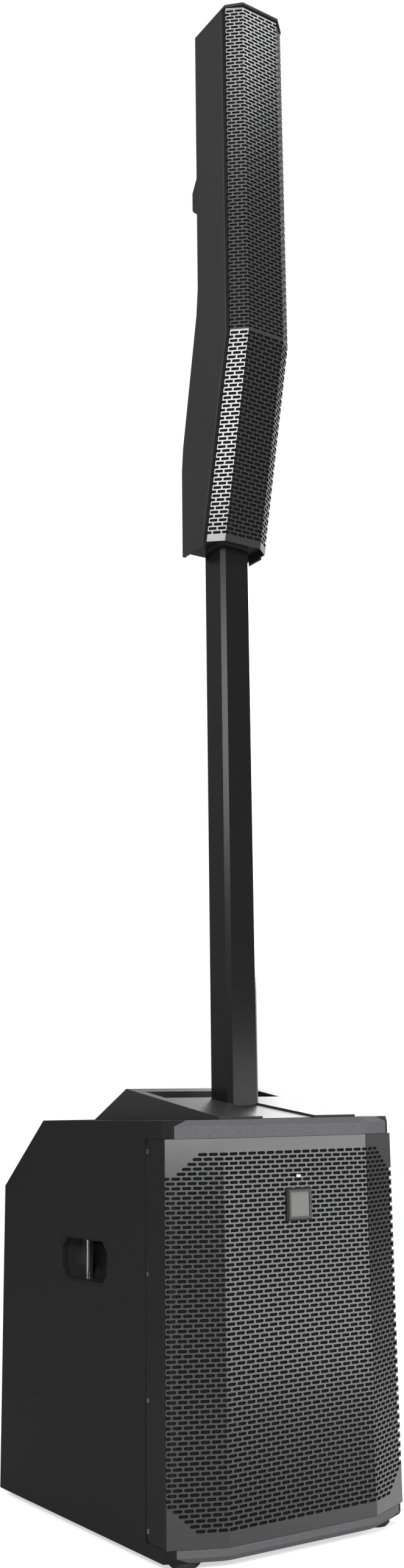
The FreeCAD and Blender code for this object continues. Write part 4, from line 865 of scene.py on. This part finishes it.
@dataclass
class Studio:
    """Floor, world, lamps and the camera."""

    floor_size: float = 60.0
    floor_sink: float = 0.2 * MM
    floor_shades: tuple[Colour, Colour] = ((0.80, 0.80, 0.80), (0.84, 0.84, 0.84))
    floor_blotches: float = 0.7
    floor_roughness: float = 0.6
    floor_swing: float = 0.1
    floor_ior: float = 1.1
    clear_floor: float = 0.55
    fade_from: float = 0.8
    fade_over: float = 2.2
    soft_light: float = 0.25
    eye: tuple[float, float, float] = (-1.0538, -1.6549, 0.4943)
    yaw: float = -0.5944
    pitch: float = 0.2097
    roll: float = -0.0148
    lens: float = 33.48
    sensor: float = 36.0
    shift: tuple[float, float] = (-0.0195, 0.006)

    def pale(self) -> Material:
        """Builds the floor's finish, which takes the object's shadow and turns white further out.

        Returns:
            The material.
        """
        paint = Paint("studio_pale")
        soft = paint.noise(self.floor_blotches)
        paint.done(Base_Color=paint.blend(soft, *self.floor_shades),
                   Roughness=soft * self.floor_swing + self.floor_roughness, IOR=self.floor_ior)
        away = paint.add("ShaderNodeVectorMath", {"operation": "LENGTH"}, {0: paint.place()}, "Value")
        fade = paint.add("ShaderNodeMapRange", {"interpolation_type": "SMOOTHSTEP"},
                         {"Value": away, "From Min": self.fade_from,
                          "From Max": self.fade_from + self.fade_over,
                          "To Min": self.clear_floor, "To Max": 1.0})
        seen = paint.add("ShaderNodeLightPath", {}, {}, "Is Camera Ray")
        white = paint.add("ShaderNodeEmission", {}, {"Color": (*WHITE, 1.0), "Strength": 1.0})
        mix = paint.tree.nodes.new("ShaderNodeMixShader")
        paint.feed(mix, {0: seen * fade, 1: Sock(paint.tree, paint.shader.outputs[0]), 2: white})
        paint.tree.links.new(mix.outputs[0], paint.output.inputs["Surface"])
        return paint.material

    def floor(self) -> None:
        """Lays the floor."""
        Bench.clear_selection()
        bpy.ops.mesh.primitive_plane_add(size=self.floor_size, location=(0.0, 0.0, -self.floor_sink))
        floor = Bench.named("studio_floor")
        Bench.apply_place(floor)
        floor.data.materials.append(self.pale())

    def world(self) -> None:
        """Lights the object softly from all round, on a white ground."""
        world = bpy.data.worlds.new("studio_world")
        bpy.context.scene.world = world
        world.use_nodes = True
        tree = world.node_tree
        tree.nodes.clear()
        output = tree.nodes.new("ShaderNodeOutputWorld")
        mix = tree.nodes.new("ShaderNodeMixShader")
        path = tree.nodes.new("ShaderNodeLightPath")
        seen = Sock(tree, path.outputs["Is Camera Ray"])
        for ray in ("Is Glossy Ray", "Is Transmission Ray"):
            seen = seen.math("MAXIMUM", seen, Sock(tree, path.outputs[ray]))
        tree.links.new(seen.socket, mix.inputs[0])
        for place, strength in ((1, self.soft_light), (2, 1.0)):
            ground = tree.nodes.new("ShaderNodeBackground")
            ground.inputs["Color"].default_value = (*WHITE, 1.0)
            ground.inputs["Strength"].default_value = strength
            tree.links.new(ground.outputs[0], mix.inputs[place])
        tree.links.new(mix.outputs[0], output.inputs["Surface"])

    @staticmethod
    def hang(lamp: Lamp) -> None:
        """Hangs one lamp, which the camera doesn't see.

        Args:
            lamp: The lamp.
        """
        light = bpy.data.lights.new(lamp.name, "AREA")
        light.shape = "RECTANGLE"
        light.size, light.size_y = lamp.size
        light.energy = lamp.power
        holder = bpy.data.objects.new(lamp.name, light)
        bpy.context.scene.collection.objects.link(holder)
        holder.location = lamp.place
        aim = Vector(lamp.target) - Vector(lamp.place)
        holder.rotation_euler = aim.to_track_quat("-Z", "Y").to_euler()
        holder.visible_camera = False

    def camera(self) -> None:
        """Sets the camera where the photograph was taken from."""
        forward = Vector((-math.sin(self.yaw) * math.cos(self.pitch),
                          math.cos(self.yaw) * math.cos(self.pitch), math.sin(self.pitch)))
        right = Vector((math.cos(self.yaw), math.sin(self.yaw), 0.0))
        up = right.cross(forward)
        side = right * math.cos(self.roll) + up * math.sin(self.roll)
        top = up * math.cos(self.roll) - right * math.sin(self.roll)
        turn = Matrix((side, top, -forward)).transposed().to_4x4()
        lens = bpy.data.cameras.new("photo_camera")
        lens.lens = self.lens
        lens.sensor_width = self.sensor
        lens.shift_x, lens.shift_y = self.shift
        camera = bpy.data.objects.new("photo_camera", lens)
        bpy.context.scene.collection.objects.link(camera)
        camera.matrix_world = Matrix.Translation(Vector(self.eye)) @ turn
        bpy.context.scene.camera = camera

    def build(self) -> None:
        """Sets up the whole studio."""
        self.floor()
        self.world()
        for lamp in STUDIO_LAMPS:
            self.hang(lamp)
        self.camera()
        bpy.context.scene.view_settings.view_transform = "Standard"


@dataclass
class FoldedGrille:
    """What both grilles share: a slotted sheet folded over a front with two cut corners."""

    look: Look
    node: str
    sheet: float
    half_face: float
    facet_fall: float
    facet_columns: int
    flange_depth: float

    def __post_init__(self) -> None:
        """Reads the grille's reach from the frame."""
        low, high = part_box(self.node)
        self.low, self.high = low.z, high.z
        self.half, self.front = high.x, low.y
        self.corner = self.front + self.facet_fall
        self.flange_end = self.corner + self.flange_depth
        self.facet = math.dist((self.half_face, self.front), (self.half, self.corner))
        self.half_cell = self.facet / self.facet_columns

    @staticmethod
    def both_sides(right: list[Point]) -> list[Point]:
        """Gives a whole plan from its right side, mirrored to the left."""
        return [(-x, y) for x, y in reversed(right)] + right

    def finish(self, piece: Piece) -> None:
        """Gives the folded sheet its thickness and its paint, with painted shade on its side flanges.

        Args:
            piece: The sheet.
        """
        Bench.modify(piece, "SOLIDIFY", thickness=self.sheet, offset=-1.0, use_even_offset=True)
        Bench.face_outwards(piece)
        self.look.wear(piece, GRILLE_PAINT)
        # Painted shade on the side flanges.
        self.look.paint_flange_shade(piece, FLANGE_SHADE_PAINT, self.corner)
        log.info("%s: %d faces", piece.name, len(piece.data.polygons))


@dataclass
class BassGrille(FoldedGrille):
    """The folded front of the cabinet, slotted at the real pitch."""

    node: str = "bass_grille"
    sheet: float = 1.5 * MM
    half_face: float = 103.6 * MM
    facet_fall: float = 28.2 * MM
    facet_columns: int = 11
    flange_depth: float = 44.0 * MM
    rows: int = 76
    row_pitch: float = 5.3 * MM
    centre_columns: int = 32
    flange_corner: float = 8.5 * MM
    flange_sink: float = 0.5 * MM
    flange_step: float = 2.0 * MM
    corner_rows: int = 5
    slot_corner_steps: int = 1

    def outline(self) -> list[Point]:
        """Gives the folded sheet's plan.

        Returns:
            Its corners, from the left flange's rear to the right one's.
        """
        side = self.half - self.flange_sink
        return self.both_sides([(self.half_face, self.front), (self.half, self.corner),
                                (side, self.corner + self.flange_step), (side, self.flange_end)])

    def column_edges(self) -> list[float]:
        """Places the flat sheet's column lines.

        Returns:
            Their places, from left to right.
        """
        reach = self.half_face + self.facet
        right = even_edges(0.0, self.half_face, self.centre_columns // 2)
        right += even_edges(self.half_face, reach, self.facet_columns)
        right += [reach + self.half_cell, reach + self.flange_depth]
        return [-edge for edge in reversed(right)] + [0.0] + right

    def build(self) -> Piece:
        """Makes the grille and puts it in the CAD sheet's place.

        Returns:
            The grille.
        """
        columns = self.column_edges()
        margin = (self.high - self.low - self.rows * self.row_pitch) / 2
        row_edges = [self.low, self.low + margin]
        row_edges += even_edges(self.low + margin, self.high - margin, self.rows)
        row_edges.append(self.high)
        first, last = 1, len(columns) - 2

        def slotted(column: int, row: int) -> bool:
            """Tells whether a cell may hold slots, which stop short of the sheet's corners.

            Args:
                column: The cell's column.
                row: The cell's row.

            Returns:
                True if it may.
            """
            index = row - 1
            if not 0 <= index < self.rows:
                return False
            steps = max(0, self.corner_rows - min(index, self.rows - 1 - index))
            inset = steps + 1 if steps else 0
            return first + inset <= column < last - inset

        sheet = SlottedSheet("bass_grille_sheet", columns, row_edges, slotted, first, 1,
                             corner_steps=self.slot_corner_steps)
        piece = sheet.build()
        outline = self.outline()
        for point in piece.data.vertices:
            x, y = along_outline(outline, point.co.x)
            point.co = (x, y, point.co.y)
        self.cut_flange_corners(piece)
        self.finish(piece)
        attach(piece, "base")
        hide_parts("bass_grille")
        return piece

    def cut_flange_corners(self, piece: Piece) -> None:
        """Cuts the flanges' rear corners off at a slant.

        Args:
            piece: The folded sheet.
        """
        for level, slant in ((self.low, -1.0), (self.high, 1.0)):
            Bench.hold(piece)
            bpy.ops.object.mode_set(mode="EDIT")
            bpy.ops.mesh.select_all(action="SELECT")
            bpy.ops.mesh.bisect(plane_co=(0.0, self.flange_end, level - slant * self.flange_corner),
                                plane_no=(0.0, 1.0, slant), clear_outer=True)
            Bench.leave()


@dataclass
class ArrayGrille(FoldedGrille):
    """The array's folded front: upright above the knee, leaning back below it."""

    node: str = "array_grille"
    sheet: float = 1.2 * MM
    half_face: float = 28.7 * MM
    facet_fall: float = 16.2 * MM
    facet_columns: int = 4
    flange_depth: float = 8.6 * MM
    rows_above: int = 94
    rows_below: int = 50
    centre_columns: int = 9
    foot_band: float = 9.0 * MM
    fold_band: float = 1.6 * MM
    head_band: float = 3.0 * MM
    knee: float = 1512.3 * MM
    foot: float = 1228.6 * MM
    setback: float = 64.9 * MM

    def outline(self) -> list[Point]:
        """Gives the sheet's plan above the knee, from left to right."""
        return self.both_sides([(self.half_face, self.front), (self.half, self.corner),
                                (self.half, self.flange_end)])

    def column_edges(self) -> list[float]:
        """Places the flat sheet's column lines.

        Returns:
            Their places, from left to right.
        """
        reach = self.half_face + self.facet
        edges = [-reach - self.flange_depth, -reach - self.half_cell, -reach]
        edges += even_edges(-reach, -self.half_face, self.facet_columns)
        edges += even_edges(-self.half_face, self.half_face, self.centre_columns)
        edges += even_edges(self.half_face, reach, self.facet_columns)
        return edges + [reach + self.half_cell, reach + self.flange_depth]

    def build(self) -> Piece:
        """Makes the grille and puts it in the CAD sheet's place.

        Returns:
            The grille.
        """
        columns = self.column_edges()
        lean = self.setback / (self.knee - self.foot)
        slope = math.hypot(1.0, lean)
        below = (self.knee - self.low) * slope
        above = self.high - self.knee
        row_edges = [-below, -below + self.foot_band]
        row_edges += even_edges(-below + self.foot_band, -self.fold_band, self.rows_below)
        row_edges += [0.0, self.fold_band]
        row_edges += even_edges(self.fold_band, above - self.head_band, self.rows_above)
        row_edges += [above]
        solid = {0, self.rows_below + 1, self.rows_below + 2, len(row_edges) - 2}
        last = len(columns) - 2

        def slotted(column: int, row: int) -> bool:
            """Tells whether a cell may hold slots; the foot, the fold and the head stay whole."""
            return row not in solid and 0 <= row < len(row_edges) - 1 and 1 <= column < last

        sheet = SlottedSheet("array_grille_sheet", columns, row_edges, slotted, 1, 1)
        piece = sheet.build()
        outline = self.outline()
        for point in piece.data.vertices:
            x, y = along_outline(outline, point.co.x)
            rise = point.co.y
            if rise < 0.0:
                rise /= slope
                y -= rise * lean
            point.co = (x, y, self.knee + rise)
        self.finish(piece)
        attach(piece, "array")
        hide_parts("array_grille")
        return piece


@dataclass
class ScrewHead:
    """A small domed screw head with a round recess, modelled once and copied."""

    radius: float = 2.6 * MM
    height: float = 0.45 * MM
    sides: int = 16
    dome_inset: float = 0.65 * MM
    dome_rise: float = 0.135 * MM
    recess_inset: float = 0.91 * MM
    recess_depth: float = 0.55 * MM

    def build(self, name: str) -> Piece:
        """Makes one head, its face to +Z at the origin.

        Args:
            name: The piece's name.

        Returns:
            The piece.
        """
        Bench.clear_selection()
        bpy.ops.mesh.primitive_cylinder_add(vertices=self.sides, radius=self.radius, depth=self.height,
                                            location=(0.0, 0.0, self.height / 2))
        piece = Bench.named(name)
        Bench.apply_place(piece)
        Bench.pick_faces(piece, lambda middle: middle.z > self.height - TOLERANCE)
        bpy.ops.mesh.inset(thickness=self.dome_inset)
        bpy.ops.transform.translate(value=(0.0, 0.0, self.dome_rise))
        bpy.ops.mesh.inset(thickness=self.recess_inset)
        bpy.ops.mesh.extrude_region_move(TRANSFORM_OT_translate={"value": (0.0, 0.0, -self.recess_depth)})
        Bench.leave()
        return piece


@dataclass
class Cabinet:
    """The bass cabinet's outside: its badge, its lamp and the screws of its grille."""

    look: Look
    badge_border: float = 4.5 * MM
    lamp_share: float = 0.6
    screw_levels: tuple[float, ...] = (34.7 * MM, 170.3 * MM, 305.9 * MM, 441.6 * MM)
    screw_place: float = -153.75 * MM
    screw_sink: float = 0.65 * MM

    def dress_badge(self) -> None:
        """Gives the bare badge its rim and field."""
        middle, (half_wide, half_high) = self.face_of("badge_plate")
        field = (half_wide - self.badge_border, half_high - self.badge_border)
        self.look.wear(frame["nodes"]["badge_plate"], BadgeFinish("badge_metal", middle, field))
        log.info("badge dressed")

    def dress_lamp(self) -> None:
        """Gives the status lamp its lens with a lit spot."""
        middle, half = self.face_of("status_lamp")
        spot = (half[0] * self.lamp_share, half[1] * self.lamp_share)
        self.look.wear(frame["nodes"]["status_lamp"], LampFinish("lamp_lens", middle, spot))
        log.info("status lamp dressed")

    @staticmethod
    def face_of(node: str) -> tuple[Point, Point]:
        """Finds a node's face as it is seen from the front.

        Args:
            node: The node.

        Returns:
            The X and Z of its middle, and half its width and height.
        """
        low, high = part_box(node)
        return (((low.x + high.x) / 2, (low.z + high.z) / 2),
                ((high.x - low.x) / 2, (high.z - low.z) / 2))

    def grille_screws(self) -> None:
        """Sets the screws that hold the grille's flanges."""
        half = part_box("bass_grille")[1].x - self.screw_sink
        head = ScrewHead().build("grille_screw")
        places = []
        for side in (-1.0, 1.0):
            turn = Matrix.Rotation(side * math.pi / 2, 4, "Y")
            for level in self.screw_levels:
                places.append(Matrix.Translation((side * half, self.screw_place, level)) @ turn)
        piece = Bench.put_copies(head, places, "grille_screws")
        self.look.wear(piece, SCREW_STEEL)
        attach(piece, "base")
        log.info("grille screws: %d", len(places))

    def build(self) -> None:
        """Dresses and adds the cabinet's small pieces."""
        self.dress_badge()
        self.dress_lamp()
        self.grille_screws()


@dataclass
class SlopePanel:
    """What is printed and screwed on the sloped control panel."""

    look: Look
    knob_joints: tuple[str, ...] = tuple(f"level_knob_{number}_turn" for number in range(1, 5))
    scale_radius: float = 12.6 * MM
    mark_count: int = 11
    sweep: float = 300.0
    mark_size: tuple[float, float, float] = (0.7 * MM, 2.2 * MM, 0.15 * MM)
    mark_taper: float = 0.7
    upper_inset: float = 7.0 * MM
    lower_inset: float = 9.0 * MM

    def __post_init__(self) -> None:
        """Reads the panel's slope and its first knob's place from the frame."""
        knob = next(joint for joint in frame["joints"] if joint["name"] == self.knob_joints[0])
        self.outwards = Vector(knob["axis"])
        self.across = Vector((-1.0, 0.0, 0.0))
        self.up = self.outwards.cross(self.across)
        self.knob_place = Vector(knob["pos_m"])

    def frame_at(self, place: Vector) -> Matrix:
        """Gives the panel's own frame at a place: X across, Y up the slope, Z outwards."""
        turn = Matrix((self.across, self.up, self.outwards)).transposed().to_4x4()
        return Matrix.Translation(place) @ turn

    def scales(self) -> None:
        """Prints a ring of marks round each level knob."""
        Bench.clear_selection()
        bpy.ops.mesh.primitive_cube_add(size=1.0)
        mark = Bench.named("scale_mark")
        mark.scale = self.mark_size
        Bench.apply_place(mark)
        Bench.pick_faces(mark, lambda middle: middle.y > 0.0 and abs(middle.z) < TOLERANCE)
        bpy.ops.transform.resize(value=(self.mark_taper, 1.0, 1.0))
        Bench.leave()
        places = []
        for joint in frame["joints"]:
            if joint["name"] not in self.knob_joints:
                continue
            base = self.frame_at(Vector(joint["pos_m"]))
            for number in range(self.mark_count):
                turn = math.radians(self.sweep * (number / (self.mark_count - 1) - 0.5))
                spot = Matrix.Rotation(turn, 4, "Z") @ Matrix.Translation((0.0, self.scale_radius, 0.0))
                places.append(base @ spot)
        piece = Bench.put_copies(mark, places, "knob_scales")
        self.look.wear(piece, MARK_PAINT)
        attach(piece, "base")
        log.info("knob scales: %d marks", len(places))

    def screws(self) -> None:
        """Sets four screws in the panel's corners."""
        low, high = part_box("control_panel")
        knob, up = self.knob_place, self.up
        top = (high.z - knob.z) / up.z - self.upper_inset
        bottom = (low.z - knob.z) / up.z + self.lower_inset
        head = ScrewHead().build("panel_screw")
        places = []
        for x in (low.x + self.upper_inset, high.x - self.upper_inset):
            for rise in (top, bottom):
                places.append(self.frame_at(Vector((x, knob.y + up.y * rise, knob.z + up.z * rise))))
        piece = Bench.put_copies(head, places, "panel_screws")
        self.look.wear(piece, SCREW_STEEL)
        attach(piece, "base")
        log.info("panel screws: %d", len(places))

    def build(self) -> None:
        """Adds the marks and the screws."""
        self.scales()
        self.screws()


def dress_nodes(look: Look) -> None:
    """Gives the CAD nodes their finishes, apart from the badge and the status lamp.

    Args:
        look: The materials.
    """
    for finish, names in NODE_FINISHES.items():
        for name in names:
            look.wear(frame["nodes"][name], finish)
    log.info("dressed %d nodes", sum(len(names) for names in NODE_FINISHES.values()))


def main() -> None:
    """Builds the looks, piece by piece."""
    logging.basicConfig(level=logging.INFO)
    look = Look()
    dress_nodes(look)
    BassGrille(look).build()
    ArrayGrille(look).build()
    Cabinet(look).build()
    SlopePanel(look).build()
    Studio().build()


if __name__ == "__main__":
    main()
